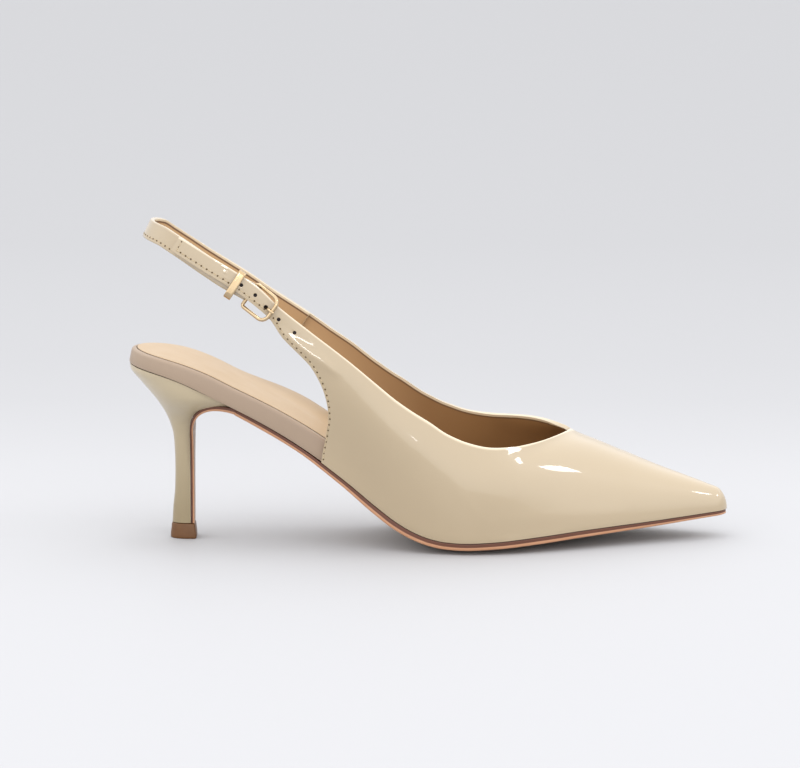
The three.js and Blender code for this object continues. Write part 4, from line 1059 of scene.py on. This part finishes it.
def slingRoute():
    inset = last["upperWall"] + 1.3 * clearance + sling["thickness"] / 2
    lateralRise = track(slingLateralRows, 1)
    medialRise = track(slingMedialRows, 1)

    def height(x, rise):
        return edgeHeight(x / shoeLength) + sling["rise"] * rise(x / shoeLength)

    route = []
    for x in spread(buckle["at"] - loopRadius * 0.4, ankleCentre, 8):
        y = -(lateralOut(x / shoeLength) - inset)
        route.append((Vector((x, y, height(x, lateralRise))), -1.0, 0.0))
    for angle in spread(-90, 90, 72)[1:]:
        turn = math.radians(angle)
        x = ankleCentre - (upper["ankleLength"] - inset) * math.cos(turn)
        width = (upper["lateralAnkle"] if angle < 0 else upper["medialAnkle"]) - inset
        rise = lateralRise if angle < 0 else medialRise
        route.append((Vector((x, width * math.sin(turn), height(x, rise))), math.sin(turn), math.cos(turn)))
    for x in spread(ankleCentre, sling["frontEnd"], 16)[1:]:
        y = medialOut(max(x / shoeLength, 0.2)) - inset
        route.append((Vector((x, y, height(x, medialRise))), 1.0, 0.0))
    return route


def slingRings():
    route = slingRoute()
    rings, outs = [], []
    for i, (point, side, turn) in enumerate(route):
        before, after = route[max(i - 1, 0)][0], route[min(i + 1, len(route) - 1)][0]
        forward = (after - before).normalized()
        lean = math.radians(sling["sideLean"] + (sling["backLean"] - sling["sideLean"]) * turn ** 3)
        out = Vector((-turn * math.cos(lean), side * math.cos(lean), math.sin(lean)))
        out = (out - forward * out.dot(forward)).normalized()
        across = forward.cross(out).normalized()
        half = sling["width"] / 2
        rings.append([point + across * w for w in spread(-half, half, sling["across"])])
        outs.append(out)
    return rings, outs


def makeSling():
    rings, _ = slingRings()
    across = sling["across"]
    gaps = [[min(r, across - r) * sling["width"] / across for r in range(across + 1)]] * len(rings)
    bm = sheetOf(rings, {"edgeGap": gaps})
    middle = toFrame((ankleCentre, 0, 0))
    turnOut(bm, lambda centre: Vector((middle.x, middle.y, centre.z)))
    strap = makePiece("slingStrap", bm, [upperPatent, upperLining, rimHighlightPatent], ["sling_strap"],
                      closed=False)
    addSolidify(strap, sling["thickness"], 0, 1, 2)
    bakeModifiers(strap)
    addBevel(strap, sling["edgeRound"], 3, 50)


def makeFold():
    # the strap's end, folded round the bar in two loops with room for the prong between
    bm = bmesh.new()
    half = sling["width"] / 2 - 0.6
    room = buckle["prong"] + clearance
    radius = buckle["rod"] + clearance + buckle["loopLeather"] / 2
    for low, high in ((-half, -buckle["drop"] - room), (room - buckle["drop"], half)):
        rows = [[placeOn(buckleAxes, radius * math.cos(t), w,
                         radius * math.sin(t) - barDepth) for w in spread(low, high, 6)]
                for t in spread(0, 2 * math.pi, 36)]
        gaps = [[4.0] * len(rows[0])] * len(rows)
        addTo(bm, sheetOf(rows, {"edgeGap": gaps}))
    centre = toFrame(placeOn(buckleAxes, 0, -buckle["drop"], -barDepth))
    weld(bm)
    turnOut(bm, lambda spot: centre)
    fold = makePiece("strapFold", bm, [upperPatent, upperLining], [], closed=False)
    addSolidify(fold, buckle["loopLeather"], 0, 1)
    bakeModifiers(fold)
    addBevel(fold, 0.25, 2, 50)


def sewSling():
    # the part under the tongue has no stitches that show
    rings, outs = slingRings()
    bm = bmesh.new()
    half = sling["thickness"] / 2
    points = []
    for ring, out in zip(rings, outs):
        edge = (ring[0] - ring[-1]).normalized()
        lower = ring[0] if ring[0].z < ring[-1].z else ring[-1]
        inward = -edge if lower is ring[0] else edge
        points.append(lower + inward * stitch["inset"] + out * half)
    tree = treeOf(points)
    free = next(i for i, spot in enumerate(points) if spot.x < tongue["tip"] - 0.6)
    sewLine(bm, points[free:], lambda spot: outs[tree.find(spot)[1]])
    makePiece("slingStitches", bm, [nudeThread, needleHoleShade], [])


makeSling()
makeFold()
sewSling()
print("sling shaped")

# Insole board with its wrapped rand, and the sock in it
insole = {
    "seatLift": 1.5,
    "archLift": 3.2,
    "tipRoom": last["toeRound"] + last["upperWall"] + 2 * clearance,
    "edgeRound": 1.4,
    "sockInset": 2.0,
    "sockTipRoom": 12.0,
    "sockThickness": 1.0,
    "bedRoom": 0.25,
    "sideSwell": 0.12,
    "sockLift": 0.5,
    "sockRound": 0.45,
    "sockCrown": 0.35,
}
# at, thickness of the padded board
paddingRows = [(0.00, 7.8), (0.12, 7.8), (0.17, 7.3), (0.24, 7.7), (0.32, 8.2), (0.38, 6.6), (0.46, 3.6),
               (0.52, 3.0), (1.00, 3.0)]
paddingAt = track(paddingRows, 1)


def seatLift(at):
    return insole["seatLift"] * (1 - smoothstep(at, 0.03, 0.18))


def sideShare(at, y):
    # -1 at the outer edge of the insole, 1 at the inner edge
    return (y - middleOf(at)) / max(insoleHalf(at, 0, insole["tipRoom"]), 1)


def archLift(at, side):
    # the inner side of the waist rises to hold the arch
    reach = smoothstep(at, 0.16, 0.28) * (1 - smoothstep(at, 0.36, 0.5))
    return insole["archLift"] * reach * smoothstep(side, 0.3, 1.0)


def outlineStations(inset, tipRoom):
    # stations round the outline from the toe along the outer side, round the seat and back
    tipStart = 0.93
    low = (inset + 0.01) / shoeLength
    high = 1 - (tipRoom + 0.02) / shoeLength
    seatEnd = 2 * last["seatRound"] / shoeLength
    back = [low + (seatEnd - low) * (1 - math.cos(t)) / 2 for t in spread(0, math.pi / 2, 22)]
    waist = spread(back[-1], tipStart, 75)[1:]
    tip = [lerp(tipStart, high, math.sin(t)) for t in spread(0, math.pi / 2, 14)][1:]
    places = back + waist + tip
    half = [insoleHalf(at, inset, tipRoom) for at in places]
    outer = [(at, -h) for at, h in zip(reversed(places), reversed(half))]
    inner = [(at, h) for at, h in zip(places, half)]
    return outer + [(low, 0.0)] + inner


def outlineRings(inset, tipRoom, profileAt):
    stations = outlineStations(inset, tipRoom)
    spots = [Vector((at * shoeLength, middleOf(at) + y, 0)) for at, y in stations]
    rings = []
    seat, tip = last["seatRound"], shoeLength - tipRoom - 6
    for i, (at, _) in enumerate(stations):
        spot = spots[i]
        tangent = (spots[min(i + 1, len(spots) - 1)] - spots[max(i - 1, 0)]).normalized()
        normal = Vector((-tangent.y, tangent.x, 0))
        middleX = min(max(spot.x, seat), tip)
        if normal.dot(spot - Vector((middleX, middleOf(at), 0))) < 0:
            normal.negate()
        ring = []
        for out, height, share in profileAt(at):
            # share 0 is at the outline, 1 on the middle line
            flat = spot + normal * out
            x = lerp(flat.x, middleX, share)
            where = min(max(x / shoeLength, 0), 1)
            y = lerp(flat.y, middleOf(where), share)
            up, base = edgeFrame(where)
            height += archLift(where, sideShare(where, y)) * height / paddingAt(where)
            ring.append(base + up * height + Vector((0, y, 0)))
        rings.append(ring)
    return rings


def roundedRim(height, radius, steps):
    # from the side up over the rounded upper edge, as (out, height)
    return [(-radius * (1 - math.cos(t)), height - radius * (1 - math.sin(t)))
            for t in spread(0, math.pi / 2, steps)]


def insoleProfile(at):
    # below, up the side, over the rim and down into the sock's bed, as (out, height, share)
    low, top = seatLift(at), paddingAt(at)
    bed = top - insole["sockThickness"] - insole["bedRoom"]
    side, inner = low + 0.4, clearance - insole["sockInset"]
    ring = [(0.0, low, 1.0), (0.0, low, 0.6), (0.0, low, 0.25), (-0.5, low, 0.0), (-0.12, low + 0.1, 0.0),
            (0.0, side, 0.0)]
    ring += [(insole["sideSwell"] * math.sin(math.pi * s), lerp(side, top - insole["edgeRound"], s), 0.0)
             for s in spread(0, 1, 5)[1:]]
    ring += [(out, height, 0.0) for out, height in roundedRim(top, insole["edgeRound"], 6)[1:]]
    return ring + [(inner, top - 0.02, 0.0), (inner - 0.06, top - 0.3, 0.0), (inner - 0.1, bed, 0.0),
                   (inner - 0.1, bed, 0.3), (inner - 0.1, bed, 1.0)]


def sockProfile(at):
    top = paddingAt(at)
    low = top - insole["sockThickness"]
    rise = top + insole["sockLift"]
    ring = [(0.0, low, 1.0), (0.0, low, 0.4), (0.0, low, 0.0), (0.0, top, 0.0)]
    edge = insole["sockRound"]
    ring += [(out, height, 0.0) for out, height in roundedRim(rise, edge, 4)]
    return ring + [(-edge, rise + insole["sockCrown"] * math.sin(math.pi / 2 * s), s)
                   for s in spread(0, 1, 9)[1:]]


def makeInsole():
    bm = sheetOf(outlineRings(0, insole["tipRoom"], insoleProfile))
    makePiece("insoleRand", bm, [randLeather], ["insole"], sharp=50)


def sockShade(point):
    # painted shade towards the raised inner side and into the shoe
    at = min(max(point.x / shoeLength, 0), 1)
    inner = smoothstep(sideShare(at, point.y), 0.35, 0.9) * smoothstep(at, 0.1, 0.26)
    return 0.26 * inner + 0.2 * smoothstep(at, 0.3, 0.5)


def makeSock():
    rings = outlineRings(insole["sockInset"], insole["sockTipRoom"], sockProfile)
    # the sock's side wall gets the full painted shade of the groove, the top its share of painted shade
    rim = [[1.0 if r < 5 else sockShade(point) for r, point in enumerate(ring)] for ring in rings]
    bm = sheetOf(rings, {"grooveAndSockShade": rim})
    makePiece("sockLining", bm, [sockLeather], ["sock_lining"], sharp=50)


makeInsole()
makeSock()
print("insole shaped")

# Outsole, with the flap that runs down the heel breast
outsole = {
    "thickness": 2.7,
    "flapThickness": 1.2,
    "inset": 0.5,
    "crown": 2.2,
    "upright": 0.6,       # share of the edge that stands upright before it rounds under
    "edgeRound": 0.5,
    "tipStart": 0.97,
    "lipLength": 42.0,
    "stemFront": 25.0,
    "breastTurn": 44.5 / 70,
    "topPieceHeight": 6.1,
}
# at, how far the sole stands out, in upper walls
soleSideRows = [(0.17, -2.2), (0.24, -1.0), (0.30, -0.1), (0.34, 0.6), (0.42, 0.85), (1.00, 0.85)]
# down the heel breast, half width in seat halves
flapRows = [(0.00, 0.86), (0.12, 0.80), (0.24, 0.70), (0.36, 0.53), (0.46, 0.36), (0.58, 0.245),
            (0.72, 0.195), (1.00, 0.178)]
lipFront = outsole["lipLength"] + 2.5
lipPlace = lipFront / shoeLength
breastTurn = outsole["breastTurn"] * last["heelHeight"]
breastFoot = outsole["topPieceHeight"] + clearance
breastKnots = [
    Vector((lipFront, edgeHeight(lipPlace) - clearance)),
    Vector((outsole["lipLength"] - 4, edgeHeight(lipPlace) + 0.026 * last["heelHeight"])),
    Vector((outsole["stemFront"], breastTurn + 0.19 * last["heelHeight"])),
    Vector((outsole["stemFront"], breastTurn)),
]


def breastPoint(t):
    return bezier(*breastKnots, t)


def breastTangent(t):
    a, b, c, d = breastKnots
    v = 1 - t
    return ((b - a) * (3 * v * v) + (c - b) * (6 * v * t) + (d - c) * (3 * t * t)).normalized()


def soleRings():
    stations = []
    soleSide = track(soleSideRows, 1)
    toe = 1 - (outsole["inset"] + 0.05) / shoeLength
    tipStart, upright = outsole["tipStart"], outsole["upright"]
    places = crowded(2 * tipStart - toe, toe, 28)[:13:-1] + spread(tipStart - 0.004, lipPlace, 120)
    for at in places:
        up, point = edgeFrame(at)
        wall = (last["upperWall"] * soleSide(at) + clearance) * outlineStretch(at)
        half = (last["ballWidth"] * planHalf(at) + wall) * quarterRound(
            (1 - at) * shoeLength - outsole["inset"], last["toeRound"])
        stations.append((point - up * clearance, up, middleOf(at), half,
                         outsole["thickness"] * soleShare(at), outsole["crown"] * crownShare(at)))
    seatHalf = last["ballWidth"] * planHalf(lipPlace)
    flapHalf = track(flapRows, 1)
    startThickness = outsole["thickness"] * soleShare(lipPlace)
    curveLength = sum((breastPoint(t + 0.01) - breastPoint(t)).length for t in spread(0, 0.99, 99))
    flapLength = curveLength + breastTurn - breastFoot

    def addFlap(x, z, tangent, gone):
        share = gone / flapLength
        stations.append((Vector((x, 0, z)), Vector((tangent.y, 0, -tangent.x)),
                         middleOf(lipPlace) * (1 - share), seatHalf * flapHalf(share),
                         lerp(startThickness, outsole["flapThickness"], min(share * 2.5, 1)), 0.0))

    for t in spread(0, 1, 40)[1:]:
        place = breastPoint(t)
        addFlap(place.x, place.y, breastTangent(t), curveLength * t)
    for t in spread(0, 1, 20)[1:]:
        z = lerp(breastTurn, breastFoot, t)
        addFlap(outsole["stemFront"], z, Vector((0, -1)), curveLength + breastTurn - z)
    rings, shares = [], []
    for point, up, middle, half, thickness, crown in stations:
        # half of the section: across, up, and how far down its edge
        bevel = min(outsole["edgeRound"], half / 4)
        profile = [(-half * 0.5, 0, 0.0), (-half + 0.1, 0, 0.0), (-half, -0.12, 0.05)]
        profile += [(-half, -thickness * upright * s, upright * s) for s in (0.35, 0.7, 1.0)]
        for t in spread(0, math.pi / 2, 4)[1:]:
            down = upright + (1 - upright) * math.sin(t)
            profile.append((-half + bevel * (1 - math.cos(t)), -thickness * down, down))
        profile += [(lerp(-half + bevel, -half * 0.55, s), -thickness - crown * smoothstep(s, 0, 1), 1.2)
                    for s in (0.33, 0.66, 1.0)]
        profile.append((0.0, -thickness - crown, 1.2))
        mirrored = [(-y, h, s) for y, h, s in reversed(profile[:-1])]
        profile = [(0.0, 0, 0.0)] + profile + mirrored + [(0.0, 0, 0.0)]
        rings.append([Vector((point.x + up.x * h, middle + y, max(point.z + up.z * h, 0.0)))
                      for y, h, _ in profile])
        shares.append([s for _, _, s in profile])
    return rings, shares


def makeOutsole():
    rings, shares = soleRings()
    bm = sheetOf(rings, {"downShare": shares})
    weld(bm)
    bmesh.ops.holes_fill(bm, edges=[edge for edge in bm.edges if edge.is_boundary], sides=0)
    makePiece("soleBody", bm, [soleLeather], ["outsole"], sharp=40)


makeOutsole()
print("outsole shaped")

# Heel: height in heel heights, back, start of the straight sides, half width, in lip lengths
heelRows = [
    (0.088, 0.407, 0.545, 0.108), (0.185, 0.417, 0.548, 0.104), (0.290, 0.434, 0.552, 0.103),
    (0.410, 0.438, 0.560, 0.107), (0.523, 0.433, 0.570, 0.122), (0.605, 0.421, 0.590, 0.150),
    (0.666, 0.393, 0.610, 0.196), (0.728, 0.350, 0.640, 0.285), (0.765, 0.314, 0.670, 0.370),
    (0.800, 0.276, 0.690, 0.455), (0.853, 0.207, 0.720, 0.545), (0.923, 0.107, 0.680, 0.575),
    (0.998, 0.016, 0.620, 0.582), (1.060, 0.010, 0.620, 0.582),
]
heel = {"down": 70, "side": 10, "round": 44, "middle": 18}
heelBack = track(heelRows, 1)
heelStraight = track(heelRows, 2)
heelHalf = track(heelRows, 3)


def breastFront(z):
    # how far forward the heel reaches at a height, just behind the flap
    if z <= breastTurn:
        return outsole["stemFront"] - clearance
    t = turnover(0.0, 1.0, lambda t: breastPoint(t).y > z)
    return breastPoint(t).x + breastTangent(t).y * clearance * 0.9


def heelRing(z):
    level = z / last["heelHeight"]
    lip = outsole["lipLength"]
    start = lip * heelBack(level)
    reach = lip * heelStraight(level) - start
    half = lip * heelHalf(level)
    front = max(min(breastFront(z), lip + 1.5), start + reach * 0.7)
    arc = []
    for angle in spread(-90, 90, heel["round"]):
        turn = math.radians(angle)
        arc.append((start + reach * (1 - math.cos(turn)), half * math.sin(turn)))
    turnX = start + reach
    if front > turnX:
        side = [(lerp(front, turnX, s), -half) for s in spread(0, 1, heel["side"])[:-1]]
    else:
        side = [(turnX, -half)] * heel["side"]
    ring = side + arc + [(x, -y) for x, y in reversed(side)]
    return [(min(x, front), y) for x, y in ring]


def seatHeight(x):
    at = min(max(x / shoeLength, 0), 1)
    up, point = edgeFrame(at)
    return point.z + (seatLift(at) - clearance) / up.z - min(x, 0) * up.x


def makeHeel():
    columns = []
    for k in range(len(heelRing(breastFoot))):
        top = turnover(breastFoot, last["heelHeight"] * 1.05,
                       lambda z: seatHeight(heelRing(z)[k][0]) > z)
        columns.append([Vector((*heelRing(z)[k], z)) for z in spread(breastFoot, top, heel["down"])])
    front = [Vector((point.x, 0, point.z)) for point in columns[0]]
    foot = Vector((heel["middle"], 0, breastFoot))
    seat = Vector((heel["middle"], 0, seatHeight(heel["middle"])))
    bm = sheetOf([[foot, *column, seat] for column in (front, *columns, front)])
    makePiece("heelCovered", bm, [heelLeather], ["heel"], sharp=50)


makeHeel()
print("heel shaped")

topPiece = {"corner": 0.8, "middle": 21}
# height, outward
topPieceRows = [(0.0, -0.35), (0.0, 0.45), (0.22, 0.7), (0.9, 0.7), (1.7, 0.66), (5.6, 0.22),
                (5.95, 0.12), (6.1, -0.15)]


def makeTopPiece():
    base = heelRows[0]
    lip = outsole["lipLength"]
    corner = topPiece["corner"]
    rings = []
    for z, grow in topPieceRows:
        start = lip * base[1] - grow
        front = outsole["stemFront"] + outsole["flapThickness"] + grow
        reach = lip * base[2] - start
        half = lip * base[3] + grow
        ring = [(start + reach * (1 - math.cos(t)), half * math.sin(t))
                for t in spread(-math.pi / 2, math.pi / 2, 32)]
        bend = [(front - corner * (1 - math.sin(t)), half - corner * (1 - math.cos(t)))
                for t in spread(0, math.pi / 2, 6)]
        ring += bend + [(x, -y) for x, y in reversed(bend)] + [ring[0]]
        rings.append([Vector((x, y, z)) for x, y in ring])
    low, high = [[Vector((topPiece["middle"], 0, z))] * len(rings[0])
                 for z in (0, outsole["topPieceHeight"])]
    makePiece("topPieceRubber", sheetOf([low, *rings, high]), [topRubber], ["top_piece"],
              sharp=60)


makeTopPiece()
print("top piece shaped")


# Buckle: bent rods and a keeper band
def rodAlong(name, points, radius, closed):
    curve = bpy.data.curves.new(name, "CURVE")
    curve.dimensions = "3D"
    curve.bevel_depth = radius * mm
    curve.bevel_resolution = 5
    curve.use_fill_caps = True
    spline = curve.splines.new("POLY")
    spline.points.add(len(points) - 1)
    for target, point in zip(spline.points, points):
        target.co = (*toFrame(point), 1)
    spline.use_cyclic_u = closed
    drawn = toScene(name, curve)
    graph = bpy.context.evaluated_depsgraph_get()
    mesh = bpy.data.meshes.new_from_object(drawn.evaluated_get(graph))
    bm = bmesh.new()
    bm.from_mesh(mesh)
    bpy.data.objects.remove(drawn)
    bpy.data.meshes.remove(mesh)
    return bm


def roundedOutline(corners, middle, steps):
    # corners in turn, as (a, b, radius), round a middle at (middle, 0)
    outline = []
    for k, (a, b, radius) in enumerate(corners):
        centreA = a - math.copysign(radius, a - middle)
        centreB = b - math.copysign(radius, b)
        for angle in spread(90 * k, 90 * k + 90, steps):
            t = math.radians(angle)
            outline.append((centreA + radius * math.cos(t), centreB + radius * math.sin(t)))
    return outline


def makeFrame():
    length, half = buckle["length"], buckle["width"] / 2
    front, rear = buckle["frontRound"], buckle["rearRound"]
    corners = [(length, half, front), (0, half, rear), (0, -half, rear), (length, -half, front)]
    outline = roundedOutline(corners, length / 2, 14)
    points = [placeOn(buckleAxes, f, w - buckle["drop"], lerp(-barDepth, frontLift, f / length))
              for f, w in outline]
    bm = rodAlong("buckleRod", points, buckle["rod"], True)
    makePiece("buckleFrame", bm, [paleGold], ["buckle_frame"])


def smoothRoute(points, steps):
    # a curve through points, as a list
    whole = [points[0] * 2 - points[1], *points, points[-1] * 2 - points[-2]]
    route = []
    for a, b, c, d in zip(whole, whole[1:], whole[2:], whole[3:]):
        for t in spread(0, 1, steps)[:-1]:
            route.append(0.5 * (b * 2 + (c - a) * t + (a * 2 - b * 5 + c * 4 - d) * t * t
                                + (b * 3 - a - c * 3 + d) * t ** 3))
    return route + [points[-1]]


def makeProng():
    crest = frontLift + buckle["rod"] + clearance + buckle["prong"]
    length = buckle["length"]
    knots = [(buckle["rod"] + clearance + 0.5, -barDepth + 0.1), (length * 0.36, -barDepth + 0.75),
             (length * 0.58, -barDepth + 1.35), (length * 0.71, -last["upperWall"] + 0.1),
             (length * 0.80, 0.2), (length * 0.86, crest * 0.7), (length, crest),
             (length + 0.9, crest - 0.15)]
    points = [placeOn(buckleAxes, f, -buckle["drop"], n) for f, n in knots]
    bm = rodAlong("prongRod", smoothRoute(points, 6), buckle["prong"], False)
    ring = buckle["rod"] + clearance + buckle["eye"] / 2
    eye = [placeOn(buckleAxes, ring * math.cos(t), -buckle["drop"], ring * math.sin(t) - barDepth)
           for t in spread(0, 2 * math.pi, 40)[:-1]]
    addTo(bm, rodAlong("eyeRod", eye, buckle["eye"] / 2, True))
    makePiece("buckleProng", bm, [paleGold], ["buckle_prong"])


keeper = {
    "at": 44.6,
    "width": 3.0,
    "gauge": 0.9,
    "topRound": 0.5,
    "lowRound": 1.6,
    "drop": 2.2,
    "edgeRound": 0.28,
}


def makeKeeper():
    axes = tongueAxes(keeper["at"])
    half = tongueMiddle(keeper["at"])[2]
    top, bottom = half + clearance * 2, -sling["width"] / 2 - keeper["drop"] - clearance * 2
    front, rear = clearance * 1.5, -(last["upperWall"] + sling["thickness"] + clearance * 5)
    grow = keeper["gauge"] / 2
    small, large = keeper["topRound"] + grow, keeper["lowRound"] + grow
    corners = [(top + grow, front + grow, small), (bottom - grow, front + grow, large),
               (bottom - grow, rear - grow, large), (top + grow, rear - grow, small)]
    outline = roundedOutline(corners, 0, 8)
    outline.append(outline[0])
    reach = keeper["width"] / 2
    bm = sheetOf([[placeOn(axes, f, w, n) for f in spread(-reach, reach, 4)] for w, n in outline])
    weld(bm)
    middle = toFrame(placeOn(axes, 0, (top + bottom) / 2, (front + rear) / 2))
    turnOut(bm, lambda spot: middle)
    band = makePiece("keeperLoop", bm, [paleGold], ["keeper_loop"], closed=False)
    addSolidify(band, keeper["gauge"], 0)
    bakeModifiers(band)
    addBevel(band, keeper["edgeRound"], 4, 50)


makeFrame()
makeProng()
makeKeeper()
print("buckle shaped")

# Studio
studio = {
    "target": (-0.01189, 0.0, 0.06251),
    "distance": 1.537,
    "elevation": 8.9,
    "roll": 0.146,
    "lens": 172.5,
    "world": (0.985, 0.99, 1.0),
    "brightWay": (0.0, -0.25, 1.0),   # the sky grows brighter this way
    "skyFrom": 0.02,
    "skyTo": 0.38,
    "lowSky": 1.0,
    "highSky": 1.85,
    "lightAim": (0.0, 0.0, 0.04),
    "keyPlace": (1.975, -0.52, 1.53),
    "keyWidth": 0.26,
    "keyPower": 3.2,
    "topPlace": (0.0, 0.15, 1.8),
    "topWidth": 0.3,
    "topPower": 2.2,
    "frontPlace": (-0.06, -1.88, 0.60),
    "frontWidth": 0.2,
    "frontPower": 1.5,
}
# metres behind the shoe, grey of the paper there: painted shade, darker further back where the light falls
# off
paperShadeRows = [(-0.40, 0.472), (0.00, 0.468), (0.10, 0.465), (0.17, 0.452), (0.23, 0.436), (0.35, 0.410),
             (0.48, 0.396), (1.00, 0.372), (3.80, 0.364)]


def makeFloor():
    bm = bmesh.new()
    bmesh.ops.create_grid(bm, x_segments=4, y_segments=4, size=60)
    floor = toScene("studioFloor", toMesh("studioFloor", bm))
    finish = Finish("studioPaper")
    near, far = paperShadeRows[0][0], paperShadeRows[-1][0]
    share = finish.remap(finish.axis("Y"), near, far, 0, 1)
    # painted shade: the paper's grey falls off towards the back
    stops = [((at - near) / (far - near), (grey, grey, grey * 1.03, 1)) for at, grey in paperShadeRows]
    finish.colour(finish.ramp(share, stops))
    finish.set(Roughness=0.6, Specular_IOR_Level=0.1)
    floor.data.materials.append(finish.material)


def addLight(name):
    light = bpy.data.lights.new(name, "AREA")
    light.size = studio[name + "Width"]
    light.energy = studio[name + "Power"]
    lamp = toScene(name, light)
    lamp.location = studio[name + "Place"]
    aim = Vector(studio["lightAim"]) - lamp.location
    lamp.rotation_euler = aim.to_track_quat("-Z", "Y").to_euler()


def makeStudio():
    makeFloor()
    world = bpy.data.worlds.new("softRoom")
    bpy.context.scene.world = world
    world.use_nodes = True
    nodes, links = world.node_tree.nodes, world.node_tree.links
    sky = nodes["Background"]
    sky.inputs["Color"].default_value = (*studio["world"], 1)
    view = nodes.new("ShaderNodeTexCoord")
    height = nodes.new("ShaderNodeVectorMath")
    height.operation = "DOT_PRODUCT"
    height.inputs[1].default_value = studio["brightWay"]
    glow = nodes.new("ShaderNodeMapRange")
    glow.interpolation_type = "SMOOTHSTEP"
    for key, value in (("From Min", "skyFrom"), ("From Max", "skyTo"), ("To Min", "lowSky"),
                       ("To Max", "highSky")):
        glow.inputs[key].default_value = studio[value]
    links.new(view.outputs["Generated"], height.inputs[0])
    links.new(height.outputs["Value"], glow.inputs["Value"])
    links.new(glow.outputs["Result"], sky.inputs["Strength"])
    for name in ("key", "top", "front"):
        addLight(name)
    camera = bpy.data.cameras.new("productCamera")
    camera.lens = studio["lens"]
    camera.sensor_width = 36
    camera.clip_end = 200
    shot = toScene("productCamera", camera)
    tilt = math.radians(studio["elevation"])
    target = Vector(studio["target"])
    shot.location = target + Vector((0, -math.cos(tilt), math.sin(tilt))) * studio["distance"]
    aim = (target - shot.location).to_track_quat("-Z", "Y")
    shot.rotation_euler = (aim @ Quaternion((0, 0, 1), math.radians(studio["roll"]))).to_euler()
    bpy.context.scene.camera = shot
    bpy.context.scene.view_settings.view_transform = "Standard"


makeStudio()
print("studio ready")
